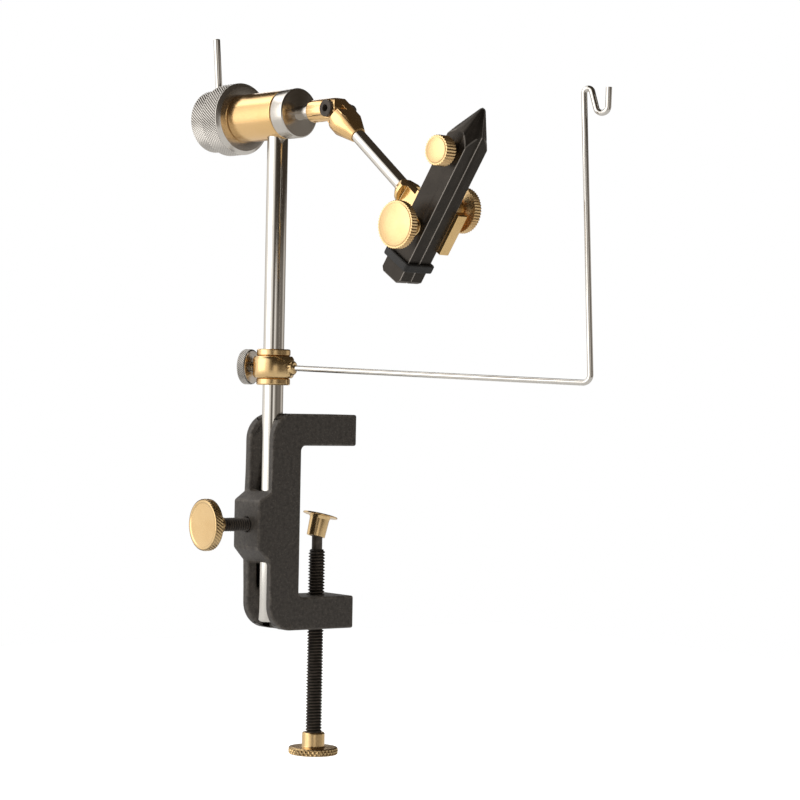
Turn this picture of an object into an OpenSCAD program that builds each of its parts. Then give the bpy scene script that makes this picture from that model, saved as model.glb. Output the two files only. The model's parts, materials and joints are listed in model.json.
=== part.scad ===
// Rotary fly tying vise with a bench clamp, a thread cradle and a pair of bar jaws.
// Row frame: +Z up, +Y the way the clamp opens, X across the clamp.
// The origin lies on the clamp screw's axis, on the underside of the clamp's upper arm,
// which is the face that sits on the table top.

/* [Bench clamp] */
// Width of the casting, along X
clamp_w = 22.5; // [18:0.5:28]
// Depth of the upright spine, along Y
spine_depth = 16.2; // [15:0.1:22]
// Distance from the spine's inner face to the clamp screw's axis
throat_reach = 17.5; // [14:0.5:26]
// Height of the throat between the two arms
throat_h = 69.5; // [60:0.5:90]
// Thickness of the upper arm
upper_arm_t = 14.5; // [10:0.5:18]
// Thickness of the lower arm
lower_arm_t = 15; // [10:0.5:18]
// Distance from the clamp screw's axis to the tips of the arms
arm_tip = 13.5; // [11:0.5:20]
// Radius of the two outer back corners
back_corner_r = 12; // [6:0.5:14]
// Height of the flat of the boss behind the spine
boss_flat_h = 22; // [18:0.5:26]
// How far the boss stands out behind the spine
boss_out = 6.3; // [5:0.1:9]
// Depth of the boss's centre below the table face
boss_drop = 36.2; // [32:0.1:40]

/* [Clamp screw] */
// Diameter of the clamp screw over its thread
screw_d = 7.9; // [6:0.1:9]
// Length of the threaded part
screw_l = 89; // [70:1:100]
// Diameter of the plain neck below the swivel pad
neck_d = 4.9; // [4:0.1:4.9]
// Diameter of the screw's ball end
ball_d = 6.8; // [6.8:0.1:7.4]
// Height of the swivel pad
pad_h = 10.4; // [9:0.1:13]
// Diameter of the swivel pad's flange
pad_flange_d = 16.2; // [14:0.1:20]
// Tilt at which the loose pad rests
pad_tilt = 14; // [0:1:14]
// Diameter of the clamp screw's knob
clamp_knob_d = 23.1; // [18:0.1:28]
// Depth of the pad's rim below the table face
pad_drop = 32; // [31:0.5:36]

/* [Stem] */
// Diameter of the stem
stem_d = 9.525; // [8:0.005:11]
// Depth of the stem's lower end below the table face
stem_foot = 81; // [60:0.5:84]
// Height of the rotary axis above the table face
head_z = 151.5; // [140:0.5:170]
// Diameter of the stem screw's knob
stem_knob_d = 23.6; // [18:0.1:28]
// Diameter of the stem screw
stem_screw_d = 6.35; // [5:0.05:8]

/* [Cradle] */
// Height of the collar's middle above the table face
collar_z = 35.8; // [32:0.1:60]
// Diameter of the collar ring
collar_d = 19; // [17:0.1:24]
// Height of the collar ring
collar_h = 10; // [8:0.1:14]
// Diameter of the collar bush's flanges
bush_flange_d = 15.5; // [14.5:0.1:16.5]
// Diameter of the collar screw's knurled knob
collar_knob_d = 16.3; // [12:0.1:18]
// Diameter of the cradle wire
wire_d = 2.6; // [2:0.1:3.2]
// Distance from the stem's axis to the cradle's corner
cradle_reach = 155; // [150:1:180]
// Length of the cradle's upright
cradle_mast = 123; // [100:1:140]
// Turn of the cradle about the stem, from +X towards +Y
cradle_turn = 27; // [20:1:60]
// Droop of the cradle's level wire
cradle_droop = 1.9; // [0:0.1:3]
// Lean of the cradle's upright towards the stem
cradle_lean = 2.5; // [0:0.1:4]

/* [Rotary head] */
// Turn of the head about the stem, from +X towards +Y
head_turn = 7.5; // [0:0.5:15]
// Diameter of the brass barrel
barrel_d = 22.2; // [20.5:0.1:26]
// Distance from the stem's axis to the barrel's front end
barrel_front = 6.1; // [5.9:0.1:12]
// Distance from the stem's axis to the barrel's rear end
barrel_rear = 23.2; // [18:0.1:28]
// Diameter of the spindle's flange
flange_d = 22.6; // [20:0.1:26]
// Thickness of the spindle's flange
flange_t = 8; // [5:0.1:12]
// Diameter of the spindle's journal inside the barrel
journal_d = 9.525; // [8:0.005:10]
// Diameter of the spindle's front stub
stub_d = 6.35; // [5:0.05:8]
// Length of the stub that shows between the flange and the coupling
stub_show = 8.7; // [6:0.1:14]
// Diameter of the drag ring
drag_ring_d = 33.4; // [28:0.1:38]
// Width of the drag ring
drag_ring_w = 12; // [9:0.1:15]
// Diameter of the crank knob
crank_knob_d = 29.1; // [22:0.1:32]
// Width of the crank knob
crank_knob_w = 10.4; // [8:0.1:14]
// Diameter of the crank pin
crank_pin_d = 3.175; // [3:0.005:4]
// Length of the crank pin that stands out of the knob
crank_pin_show = 24; // [16:0.5:32]
// Lean of the crank pin to the side that the knobs face
crank_pin_lean = 5; // [0:1:10]

/* [Knuckle and arm] */
// Diameter of the spindle's coupling
coupling_d = 10.2; // [9.6:0.1:12]
// Distance from the stem's axis to the knuckle's pivot
pivot_u = 37.7; // [37:0.1:44]
// Diameter of the knuckle's screw
knuckle_screw_d = 3.5; // [3:0.1:4]
// Diameter of the arm's knuckle
knuckle_d = 14.2; // [13:0.1:16]
// Length of the arm's knuckle from its pivot to the end of its taper
knuckle_l = 20; // [18:0.1:24]
// Diameter of the arm rod
arm_rod_d = 6.35; // [5.5:0.05:7]
// Angle of the arm below the rotary axis
arm_angle = 39.8; // [20:0.1:60]
// Distance along the arm from the knuckle's pivot to the jaws' tilt axis
arm_reach = 86.6; // [84:0.1:100]
// Height of the jaws' tilt axis above the arm's line
jaw_offset = 9.6; // [9:0.1:10.5]
// Angle from the arm's line to the jaws' line
jaw_angle = 95.6; // [88:0.1:100]

/* [Jaws] */
// Width of each jaw bar
jaw_w = 12.7; // [11:0.1:14]
// Thickness of each jaw bar
jaw_t = 6.7; // [5.5:0.1:8]
// Distance from the tilt axis to the jaws' tips
jaw_tip = 48.4; // [46:0.1:54]
// Distance from the tilt axis to the jaws' tail ends
jaw_tail = 35.2; // [34:0.1:40]
// Length of the turned point
point_l = 16.2; // [14:0.1:18]
// Thickness of the brass mount plate
plate_t = 5.4; // [4.5:0.1:7]
// Distance from the tilt axis to the gap screw
gap_at = 27; // [25:0.1:29]
// Distance from the tilt axis to the clamping screw
clamp_at = 9.5; // [9:0.1:11]
// Distance from the tilt axis to the rubber ring
ring_at = 26; // [25:0.1:28]
// Diameter of the gap knob
gap_knob_d = 13; // [11:0.1:15]
// Diameter of the clamping knob
jaw_knob_d = 20.6; // [16:0.1:22]
// Diameter of the tilt knob
tilt_knob_d = 19.8; // [16:0.1:22]

/* [Hidden] */
// Overrun of cuts past the faces that they open
over = 0.5;
// Radial clearance of a running or sliding fit
run_gap = 0.05;
// Radial clearance of a pressed, threaded or screwed fit
fit_gap = 0.03;
// Gap between two flat faces that turn or slide on each other
face_gap = 0.05;
// Small edge chamfer
edge = 0.5;
// Smoothness of large and of small round pieces
smooth = 96;
fine = 48;

// Bench clamp
back_y = -throat_reach - spine_depth;
stem_wall = 4.25;
stem_y = -throat_reach - stem_wall - stem_d / 2 - run_gap;
boss_bevel_top = 4.1;
boss_bevel_low = 6.4;
boss_half = boss_flat_h / 2;
boss_draft = 0.9;
groove_flare = 2.7;
boss_y = back_y - boss_out;
countersink = 0.7;
throat_fillet = 2.5;

// Clamp screw
neck_show = 6;
screw_top_z = -pad_drop - pad_h - neck_show;
screw_foot_z = screw_top_z - screw_l;
screw_end_t = 0.6;
ball_seat = 3.5;
ball_z = -pad_drop - pad_h + ball_seat;
pad_wall = 0.85;
pad_cup_d = ball_d + 2 * run_gap + 2 * pad_wall;
pad_flange_t = 0.7;
pad_flare = 0.3;
pad_bore_h = 4.5;
thrust_t = 0.7;
thrust_d = 3.4;
clamp_hub_d = 10.6;
clamp_hub_h = 6.8;
clamp_disc_h = 3.4;
knob_socket = 4;

// Stem
stem_top_gap = 0.3;
stem_end_chamfer = 0.8;

// Stem screw, which runs along Y through the boss
stem_tip_l = 3;
stem_tip_d = 5;
stem_back_y = stem_y - stem_d / 2 - run_gap;
stem_tip_y = stem_back_y - face_gap;
stem_screw_show = 13.4;
stem_screw_end = boss_y - stem_screw_show;
stem_knob_t = 4;
stem_hub_d = 8;
stem_hub_flare = 1.3;
stem_hub_h = 6.4;

// Collar
bush_d = 13;
bush_flange_h = 3.2;
collar_half = collar_h / 2;
collar_groove = 0.5;
collar_band_h = 7;
collar_screw_d = 4.76;
collar_knob_t = 4.2;
collar_screw_show = 1.4;
collar_tip_l = 1.6;
collar_boss_d = 6.4;
collar_boss_l = 1.6;
bush_slit = 1;
collar_tip_d = 3.1;
socket_share = 0.75;
collar_tip_r = bush_d / 2 + face_gap;
collar_knob_r = collar_d / 2 + collar_screw_show;
wire_seat = 2.4;

// Cradle wire
bend_r = 3.4;
bend_swell = 0.02;
bend_lap = 0.2;
crest_r = 2;
hook_r = 2.8;
hook_lean = 20;
hook_out = 6;
hook_drop = 5.5;
hook_rise = 8.4;

// Rotary head, measured along the rotary axis from the stem's axis
washer_t = 0.4;
flange_u = barrel_front + washer_t + 2 * face_gap;
stub_u = flange_u + flange_t;
coupling_u = stub_u + stub_show;
drag_u = -barrel_rear - face_gap;
drag_end_u = drag_u - drag_ring_w;
crank_u = drag_end_u - face_gap;
crank_end_u = crank_u - crank_knob_w;
bushing_wall = 2.2;
bushing_l = 8;
bushing_d = journal_d + 2 * run_gap + 2 * bushing_wall;
barrel_bore_d = bushing_d + 2 * fit_gap;
rear_thread_d = 8.6;
spring_d = 17;
spring_bore_d = 11;
spring_t = 0.9;
spring_rise = 1.3;
spring_pocket = 2.4;
spring_room = 0.4;
crank_floor = 2.5;
crank_pin_u = (crank_u + crank_end_u) / 2;
stem_top_z = head_z - barrel_bore_d / 2 - stem_top_gap;
crank_pin_root = 7;
crank_pin_step = 0.25;
crank_pin_neck = 0.45;
ring_chamfer = 1.7;
knob_chamfer = 0.9;

// Coupling and knuckle, measured along the arm from the pivot
grub_d = 3;
grub_l = coupling_d / 2 - edge - stub_d / 2 - face_gap;
lap_clear = 0.3;
lap_room = 1.2;
coupling_chamfer = 0.7;
head_bore_d = 7.8;
head_l = 3;
head_d = 6.6;
head_seat = 1.9;
hex_af = 3;
hex_depth = 1.8;
nut_h = 3.1;
nut_d = 6.6;
nut_thread = 2.2;
knuckle_back = knuckle_d / 2 - edge;
knuckle_tip_d = 7.9;
taper_share = 1.55;
stub_socket = 6.4;
coupling_shoulder = pivot_u - knuckle_d / 2 - lap_clear;
lap_l = coupling_d / 2 + lap_room;
rod_socket = 9;

// Jaw mount, measured along the jaws from the tilt axis
elbow_d = 12.7;
elbow_show = 30.4;
elbow_round = 4.6;
tongue_w = 11.4;
elbow_taper = 3;
elbow_tip_d = 8.2;
elbow_bore = 4.2;
spigot_d = 3.6;
spigot_l = 8;
plate_top = 1.6;
plate_foot = 18;
plate_border = 2;
plate_half = jaw_w / 2 + plate_border;
elbow_sink = 1;
plate_lobe_r = 5.6;
elbow_x = arm_reach + jaw_offset * tan(jaw_angle - 90) - elbow_show;
elbow_l = elbow_show - plate_half + elbow_sink;

// Depths in the direction that the jaw knobs face, from the arm's line
plate_z = plate_t / 2;
split_z = plate_z + face_gap + jaw_t;
front_z = split_z + jaw_t + face_gap;
point_r = 1.3;
point_root_r = 9.3;
tail_bevel = 1.3;
relief_turn = 2.4;
tilt_bolt_d = 4.76;
tilt_head_d = 8;
tilt_head_t = 2;
tilt_washer_t = 0.6;
tilt_washer_d = 8.4;
tilt_hub_h = 1.8;
tilt_rim_t = 3.8;
tilt_hub_d = 6.6;
tilt_cover = 1;
tilt_bolt_l = tilt_washer_t + tilt_hub_h + tilt_rim_t - tilt_cover;
gap_screw_d = 4;
gap_hole_d = 5.2;
gap_standoff = 3.2;
gap_rim_t = 5.5;
gap_hub_d = 7;
jaw_screw_d = 4.76;
insert_d = 7;
insert_flange_d = 8.6;
insert_flange_t = 0.8;
insert_l = 4.5;
jaw_hub_h = 3.6;
jaw_hub_d = 7;
jaw_rim_t = 3.3;
jaw_screw_show = 3.8;
rubber_w = 2.8;
rubber_t = 1.7;
rubber_gap = 0.12;
dome_h = 0.7;
shoulder_share = 0.86;
tooth_h = 0.45;
small_teeth = 30;
tilt_teeth = 48;
jaw_teeth = 50;

// Places: each turns and moves its children from a local frame into the row frame

// Rotary head: x along the rotary axis, z up
module at_head() {
    translate([0, stem_y, head_z]) rotate([0, 0, head_turn]) children();
}

// Turned pieces of the head: z along the rotary axis, from the stem's axis
module on_spindle(u) {
    at_head() rotate([0, 90, 0]) translate([0, 0, u]) children();
}

// Plan of the arm and the jaws: x along the rotary axis, y up, z the way the knobs face
module at_pivot() {
    at_head() translate([pivot_u, 0, 0]) rotate([90, 0, 0]) children();
}

// Arm: x along the arm from the knuckle's pivot
module at_arm() {
    at_pivot() rotate([0, 0, -arm_angle]) children();
}

// Jaws: x along the jaws from the tilt axis towards the points
module at_jaws() {
    at_arm() translate([arm_reach, jaw_offset, 0]) rotate([0, 0, jaw_angle]) children();
}

// Collar: x along the cradle's level wire
module at_collar() {
    translate([0, stem_y, collar_z]) rotate([0, 0, cradle_turn]) children();
}

// Clamp screw's ball, about which the pad tilts
module at_ball() {
    translate([0, 0, ball_z]) children();
}

// Shapes used by several pieces

// Round bar along z with chamfered ends
module turned_bar(d, l, lower, upper, facets = smooth) {
    rotate_extrude($fn = facets)
        polygon([[0, 0], [d / 2 - lower, 0], [d / 2, lower], [d / 2, l - upper],
                 [d / 2 - upper, l], [0, l]]);
}

// Drilled hole along z, from a little below zero to a little above the given length
module hole(d, l, facets = fine) {
    translate([0, 0, -over]) cylinder(d = d, h = l + 2 * over, $fn = facets);
}

// Rim with straight serrations, standing on z = 0
module serrated_rim(d, h, teeth) {
    step = 360 / teeth;
    linear_extrude(h)
        polygon([for (i = [0 : teeth - 1], side = [0, 1])
                 (d / 2 - tooth_h * side) * [cos((i + side / 2) * step), sin((i + side / 2) * step)]]);
}

// Serrated knob with a conical hub below it and a domed face above it
module serrated_knob(d, rim_t, hub_d, hub_h, teeth, screw) {
    root_r = d / 2 - tooth_h;
    face_r = root_r - edge;
    difference() {
        union() {
            translate([0, 0, hub_h]) serrated_rim(d, rim_t, teeth);
            rotate_extrude($fn = smooth)
                polygon([[0, 0], [hub_d / 2, 0], [root_r * shoulder_share, hub_h + edge],
                         [0, hub_h + edge]]);
            translate([0, 0, hub_h + rim_t - edge])
                rotate_extrude($fn = smooth)
                    polygon([[0, 0], [face_r, 0], [face_r, edge + dome_h / 4],
                             [face_r - edge, edge + dome_h / 2],
                             [face_r / 2, edge + dome_h], [0, edge + dome_h]]);
        }
        hole(screw + 2 * fit_gap, hub_h + rim_t - edge - over);
    }
}

// Bench clamp

// Side outline of the casting, x towards the opening and y up
module clamp_outline() {
    low = -throat_h - lower_arm_t;
    tall = throat_h + lower_arm_t + upper_arm_t;
    difference() {
        union() {
            translate([back_y + back_corner_r, low]) square([arm_tip - back_y - back_corner_r, tall]);
            translate([back_y, low + back_corner_r]) square([back_corner_r, tall - 2 * back_corner_r]);
            for (z = [upper_arm_t - back_corner_r, low + back_corner_r])
                translate([back_y + back_corner_r, z]) circle(back_corner_r, $fn = smooth);
        }
        translate([-throat_reach, -throat_h]) difference() {
            square([throat_reach + arm_tip + over, throat_h]);
            throat_corner([0, 0], 0);
            throat_corner([0, throat_h], -90);
        }
    }
}

// Fillet left standing in a corner of the throat
module throat_corner(place, turn) {
    translate(place) rotate(turn) difference() {
        translate([-over, -over]) square(throat_fillet + over);
        translate([throat_fillet, throat_fillet]) circle(throat_fillet, $fn = fine);
    }
}

// Side outline of the boss behind the spine
module boss_outline() {
    polygon([[back_y + edge, boss_half + boss_bevel_top], [back_y, boss_half + boss_bevel_top],
             [boss_y, boss_half], [boss_y, -boss_half],
             [back_y, -boss_half - boss_bevel_low], [back_y + edge, -boss_half - boss_bevel_low]]);
}

// Plan of the boss, which narrows a little towards its flat back
module boss_plan() {
    half = clamp_w / 2;
    polygon([[-half, back_y + edge], [-half, back_y], [boss_draft - half, boss_y],
             [half - boss_draft, boss_y], [half, back_y], [half, back_y + edge]]);
}

// Plan of the groove behind the stem, which opens out to the back
module stem_groove() {
    half = stem_d / 2 + run_gap;
    polygon([[-half, stem_y], [-half - groove_flare, back_y], [-half - groove_flare, back_y - over],
             [half + groove_flare, back_y - over], [half + groove_flare, back_y], [half, stem_y]]);
}

// Stands a side outline up across the casting's width
module across_clamp(w) {
    rotate([90, 0, 90]) translate([0, 0, -w / 2]) linear_extrude(w) children();
}

module clamp_frame() color("#48423c") difference() {
    union() {
        difference() {
            across_clamp(clamp_w) clamp_outline();
            translate([0, 0, -throat_h - lower_arm_t - over])
                linear_extrude(throat_h + lower_arm_t + upper_arm_t + 2 * over) stem_groove();
        }
        translate([0, 0, -boss_drop]) intersection() {
            across_clamp(clamp_w) boss_outline();
            translate([0, 0, -boss_flat_h]) linear_extrude(2 * boss_flat_h) boss_plan();
        }
        translate([-clamp_w / 2, back_y, -boss_drop - boss_half - boss_bevel_low])
            cube([clamp_w, stem_y - back_y, boss_flat_h + boss_bevel_top + boss_bevel_low]);
    }
    translate([0, stem_y, -throat_h - lower_arm_t])
        hole(stem_d + 2 * run_gap, throat_h + lower_arm_t + upper_arm_t, smooth);
    translate([0, boss_y - over, -boss_drop]) rotate([-90, 0, 0])
        cylinder(d = stem_screw_d + 2 * run_gap, h = stem_y - boss_y + over, $fn = fine);
    translate([0, boss_y - over, -boss_drop]) rotate([-90, 0, 0])
        cylinder(d1 = stem_screw_d + 2 * countersink + 2 * over, d2 = stem_screw_d,
                 h = countersink + over, $fn = fine);
    translate([0, 0, -throat_h - lower_arm_t]) hole(screw_d + 2 * run_gap, lower_arm_t);
}

// Clamp screw

module clamp_screw() color("#1c1a19") {
    translate([0, 0, screw_foot_z]) turned_bar(screw_d, screw_l, screw_end_t, screw_end_t);
    translate([0, 0, screw_top_z - edge])
        cylinder(d = neck_d, h = ball_z - screw_top_z + edge, $fn = fine);
    at_ball() sphere(d = ball_d, $fn = fine);
}

module clamp_screw_knob() color("#c9a24e") difference() {
    translate([0, 0, screw_foot_z + knob_socket - clamp_hub_h - clamp_disc_h]) {
        turned_bar(clamp_knob_d, clamp_disc_h, edge, edge);
        translate([0, 0, clamp_disc_h - edge])
            turned_bar(clamp_hub_d, clamp_hub_h + edge, 0, edge);
    }
    translate([0, 0, screw_foot_z - fit_gap])
        cylinder(d = screw_d + 2 * fit_gap, h = knob_socket + over + fit_gap, $fn = fine);
}

// Hardened disc that the ball bears on, which neither turns with the screw nor tilts with the pad
module pad_thrust_disc() color("#6b6a68") at_ball()
    translate([0, 0, ball_d / 2 + face_gap]) cylinder(d = thrust_d, h = thrust_t, $fn = fine);

// Swivel pad, drawn about the ball with its flange up, then tilted as it rests
module swivel_pad() color("#c9a24e") at_ball() rotate([-pad_tilt, 0, 0]) difference() {
    top = pad_h - ball_seat;
    rotate_extrude($fn = smooth)
        polygon([[0, -ball_seat], [pad_cup_d / 2, -ball_seat],
                 [pad_cup_d / 2 + pad_flare, top - 3 * pad_flange_t],
                 [pad_cup_d / 2 + 3 * pad_flare, top - pad_flange_t],
                 [pad_flange_d / 2, top - pad_flange_t], [pad_flange_d / 2, top], [0, top]]);
    translate([0, 0, -ball_seat - over])
        cylinder(r = ball_d / 2 + run_gap, h = ball_seat + pad_bore_h + over, $fn = fine);
}

// Stem and its screw

module stem() color("#cfcac2")
    translate([0, stem_y, -stem_foot])
        turned_bar(stem_d, stem_top_z + stem_foot, stem_end_chamfer, edge);

// Puts a turned piece on the stem screw's axis, its z pointing out of the boss
module on_stem_screw(y) {
    translate([0, y, -boss_drop]) rotate([90, 0, 0]) children();
}

module stem_screw_tip() color("#b98f3f")
    on_stem_screw(stem_tip_y) turned_bar(stem_tip_d, stem_tip_l, edge, 0, fine);

module stem_screw() color("#3a3836")
    on_stem_screw(stem_tip_y - stem_tip_l - face_gap)
        turned_bar(stem_screw_d, stem_tip_y - stem_tip_l - face_gap - stem_screw_end + knob_socket - edge,
                   edge, edge, fine);

module stem_screw_knob() color("#d2ab5c") on_stem_screw(stem_screw_end) difference() {
    rotate_extrude($fn = smooth)
        polygon([[0, 0], [stem_hub_d / 2 - edge, 0], [stem_hub_d / 2, edge],
                 [stem_hub_d / 2 + stem_hub_flare, stem_hub_h], [stem_knob_d / 2 - edge, stem_hub_h],
                 [stem_knob_d / 2, stem_hub_h + edge], [stem_knob_d / 2, stem_hub_h + stem_knob_t - edge],
                 [stem_knob_d / 2 - edge, stem_hub_h + stem_knob_t],
                 [stem_knob_d / 2 - 3 * edge, stem_hub_h + stem_knob_t],
                 [stem_knob_d / 2 - 4 * edge, stem_hub_h + stem_knob_t - edge / 2],
                 [0, stem_hub_h + stem_knob_t - edge / 2]]);
    translate([0, 0, -over]) cylinder(d = stem_screw_d + 2 * fit_gap, h = knob_socket + over, $fn = fine);
}

// Collar and cradle

// Slit bush that slides on the stem and carries the ring between its lower flange and the cap
module collar_bush() color("#c9a24e") at_collar() difference() {
    translate([0, 0, -collar_half - face_gap - bush_flange_h])
        rotate_extrude($fn = smooth)
            polygon([[0, 0], [bush_flange_d / 2 - edge, 0], [bush_flange_d / 2, edge],
                     [bush_flange_d / 2, bush_flange_h - edge],
                     [bush_flange_d / 2 - edge, bush_flange_h], [bush_d / 2, bush_flange_h],
                     [bush_d / 2, bush_flange_h + collar_h + 2 * face_gap + bush_flange_h - edge],
                     [0, bush_flange_h + collar_h + 2 * face_gap + bush_flange_h - edge]]);
    translate([0, 0, -collar_half - face_gap - bush_flange_h])
        hole(stem_d + 2 * run_gap, collar_h + 2 * face_gap + 2 * bush_flange_h, smooth);
    translate([0, -bush_slit / 2, -collar_half - face_gap - bush_flange_h - over])
        cube([bush_flange_d / 2 + over, bush_slit, collar_h + 2 * face_gap + 2 * bush_flange_h + 2 * over]);
}

module collar_cap() color("#c9a24e") at_collar()
    translate([0, 0, collar_half + face_gap]) difference() {
        turned_bar(bush_flange_d, bush_flange_h, edge, edge);
        hole(bush_d + 2 * fit_gap, bush_flange_h, smooth);
    }

module collar_ring() color("#d2ab5c") at_collar() difference() {
    union() {
        translate([0, 0, -collar_half])
            rotate_extrude($fn = smooth)
                polygon([[0, 0], [collar_d / 2 - 2 * collar_groove, 0], [collar_d / 2 - collar_groove, edge],
                         [collar_d / 2, (collar_h - collar_band_h) / 2],
                         [collar_d / 2, (collar_h + collar_band_h) / 2],
                         [collar_d / 2 - collar_groove, collar_h - edge],
                         [collar_d / 2 - 2 * collar_groove, collar_h], [0, collar_h]]);
        rotate([0, 90 + cradle_droop, 0])
            turned_bar(collar_boss_d, collar_d / 2 + collar_boss_l, 0, edge, fine);
    }
    translate([0, 0, -collar_half]) hole(bush_d + 2 * run_gap, collar_h, smooth);
    rotate([0, -90, 0]) cylinder(d = collar_screw_d + 2 * run_gap, h = collar_d / 2 + over, $fn = fine);
    rotate([0, 90 + cradle_droop, 0]) translate([0, 0, collar_d / 2 + collar_boss_l - wire_seat])
        cylinder(d = wire_d + 2 * fit_gap, h = wire_seat + over, $fn = fine);
}

// Puts a turned piece on the collar screw's axis, its z pointing away from the stem
module on_collar_screw(r) {
    at_collar() rotate([0, -90, 0]) translate([0, 0, r]) children();
}

module collar_screw_tip() color("#b98f3f")
    on_collar_screw(collar_tip_r) turned_bar(collar_tip_d, collar_tip_l, edge / 2, 0, fine);

module collar_screw() color("#b9b4ac")
    on_collar_screw(collar_tip_r + collar_tip_l + face_gap)
        turned_bar(collar_screw_d, collar_knob_r + collar_knob_t / 2 - collar_tip_r - collar_tip_l,
                   edge, edge, fine);

module collar_screw_knob() color("#a39d94")
    on_collar_screw(collar_knob_r) difference() {
        turned_bar(collar_knob_d, collar_knob_t, edge, edge);
        translate([0, 0, -over])
            cylinder(d = collar_screw_d + 2 * fit_gap, h = collar_knob_t * socket_share + over, $fn = fine);
    }

// Straight stretch of wire between two points of the cradle's plane, let into the bends at its ends
module wire_run(from, to) {
    run = to - from;
    translate([from[0], 0, from[1]]) rotate([0, 90 - atan2(run[1], run[0]), 0])
        translate([0, 0, -bend_lap]) cylinder(d = wire_d, h = norm(run) + 2 * bend_lap, $fn = fine);
}

// Bend of the wire in the cradle's plane, from one angle through another, where it swells a little
module wire_bend(centre, r, from, turn) {
    translate([centre[0], 0, centre[1]]) rotate([90, 0, 0]) rotate([0, 0, from])
        rotate_extrude(angle = turn, $fn = smooth) translate([r, 0])
            circle(d = wire_d + 2 * bend_swell, $fn = fine);
}

// Steel wire bent up at the cradle's corner and hooked at its top to hold the thread
module cradle_wire() color("#cfcac2") at_collar() {
    mouth = collar_d / 2 + collar_boss_l;
    along = [cos(cradle_droop), -sin(cradle_droop)];
    up = [-sin(cradle_lean), cos(cradle_lean)];
    turn = 90 + cradle_lean + cradle_droop;
    tangent = bend_r * tan(turn / 2);
    corner = cradle_reach * along;
    start = corner - tangent * along;
    top = corner + cradle_mast * up;
    crest_c = top + crest_r * [cos(cradle_lean), sin(cradle_lean)];
    leg_side = [cos(hook_lean), sin(hook_lean)];
    leg_top = crest_c + crest_r * leg_side;
    leg_foot = leg_top + hook_drop * [sin(hook_lean), -cos(hook_lean)];
    cup_c = leg_foot + hook_r * leg_side;
    cup_end = cup_c + hook_r * [cos(hook_out), -sin(hook_out)];
    wire_run((mouth - wire_seat + fit_gap + bend_lap) * along, start);
    wire_bend(start + bend_r * [sin(cradle_droop), cos(cradle_droop)], bend_r, -90 - cradle_droop, turn);
    wire_run(corner + tangent * up, top);
    wire_bend(crest_c, crest_r, hook_lean, 180 + cradle_lean - hook_lean);
    wire_run(leg_top, leg_foot);
    wire_bend(cup_c, hook_r, 180 + hook_lean, 180 - hook_lean - hook_out);
    wire_run(cup_end, cup_end + hook_rise * [sin(hook_out), cos(hook_out)]);
}

// Rotary head

module barrel() color("#d2ab5c") difference() {
    on_spindle(-barrel_rear) turned_bar(barrel_d, barrel_rear + barrel_front, edge, edge);
    on_spindle(-barrel_rear) hole(barrel_bore_d, barrel_rear + barrel_front, smooth);
    translate([0, stem_y, head_z - barrel_d / 2 - over])
        cylinder(d = stem_d + 2 * run_gap, h = barrel_d / 2 + over, $fn = smooth);
}

// Plain bushing pressed into one end of the barrel
module bushing(u) {
    on_spindle(u) difference() {
        cylinder(d = bushing_d, h = bushing_l, $fn = smooth);
        hole(journal_d + 2 * run_gap, bushing_l, smooth);
    }
}

module front_bushing() color("#8a6a3a") bushing(barrel_front - bushing_l);
module rear_bushing() color("#8a6a3a") bushing(-barrel_rear);

// Spindle: rear thread, journal, flange and front stub in one turning
module spindle() color("#b9b4ac") on_spindle(0)
    rotate_extrude($fn = smooth)
        polygon([[0, crank_end_u + crank_floor + edge],
                 [rear_thread_d / 2 - edge, crank_end_u + crank_floor + edge],
                 [rear_thread_d / 2, crank_end_u + crank_floor + 2 * edge],
                 [rear_thread_d / 2, -barrel_rear],
                 [journal_d / 2, -barrel_rear], [journal_d / 2, flange_u],
                 [flange_d / 2 - edge, flange_u], [flange_d / 2, flange_u + edge],
                 [flange_d / 2, stub_u - edge], [flange_d / 2 - edge, stub_u],
                 [stub_d / 2, stub_u], [stub_d / 2, coupling_u + stub_socket - face_gap],
                 [0, coupling_u + stub_socket - face_gap]]);

module flange_washer() color("#2a2622") on_spindle(barrel_front + face_gap) difference() {
    cylinder(d = barrel_d - 2 * edge, h = washer_t, $fn = smooth);
    hole(journal_d + 2 * run_gap, washer_t, smooth);
}

// Drag ring: threaded on the spindle, it draws the flange against the barrel
module drag_ring() color("#b9b4ac") on_spindle(drag_end_u) difference() {
    turned_bar(drag_ring_d, drag_ring_w, edge, ring_chamfer);
    hole(rear_thread_d + 2 * run_gap, drag_ring_w, smooth);
    translate([0, 0, drag_ring_w - spring_pocket])
        cylinder(d = spring_d + 2 * spring_room, h = spring_pocket + over, $fn = smooth);
}

// Cone washer that the drag ring presses on the barrel
module drag_spring() color("#6b6a68") on_spindle(drag_u - spring_pocket + face_gap)
    rotate_extrude($fn = smooth)
        polygon([[spring_bore_d / 2, spring_rise], [spring_d / 2, 0], [spring_d / 2, spring_t],
                 [spring_bore_d / 2, spring_rise + spring_t]]);

module crank_knob() color("#8f8a82") difference() {
    on_spindle(crank_end_u) turned_bar(crank_knob_d, crank_knob_w, knob_chamfer, knob_chamfer);
    on_spindle(crank_end_u + crank_floor)
        cylinder(d = rear_thread_d + 2 * fit_gap, h = crank_knob_w, $fn = smooth);
    on_crank_pin(crank_pin_root - edge)
        cylinder(d = crank_pin_d - 2 * crank_pin_step + 2 * fit_gap, h = crank_knob_d, $fn = fine);
}

// Crank pin's axis, from the spindle's axis outwards
module on_crank_pin(r) {
    at_head() translate([crank_pin_u, 0, 0]) rotate([crank_pin_lean, 0, 0]) translate([0, 0, r]) children();
}

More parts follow.
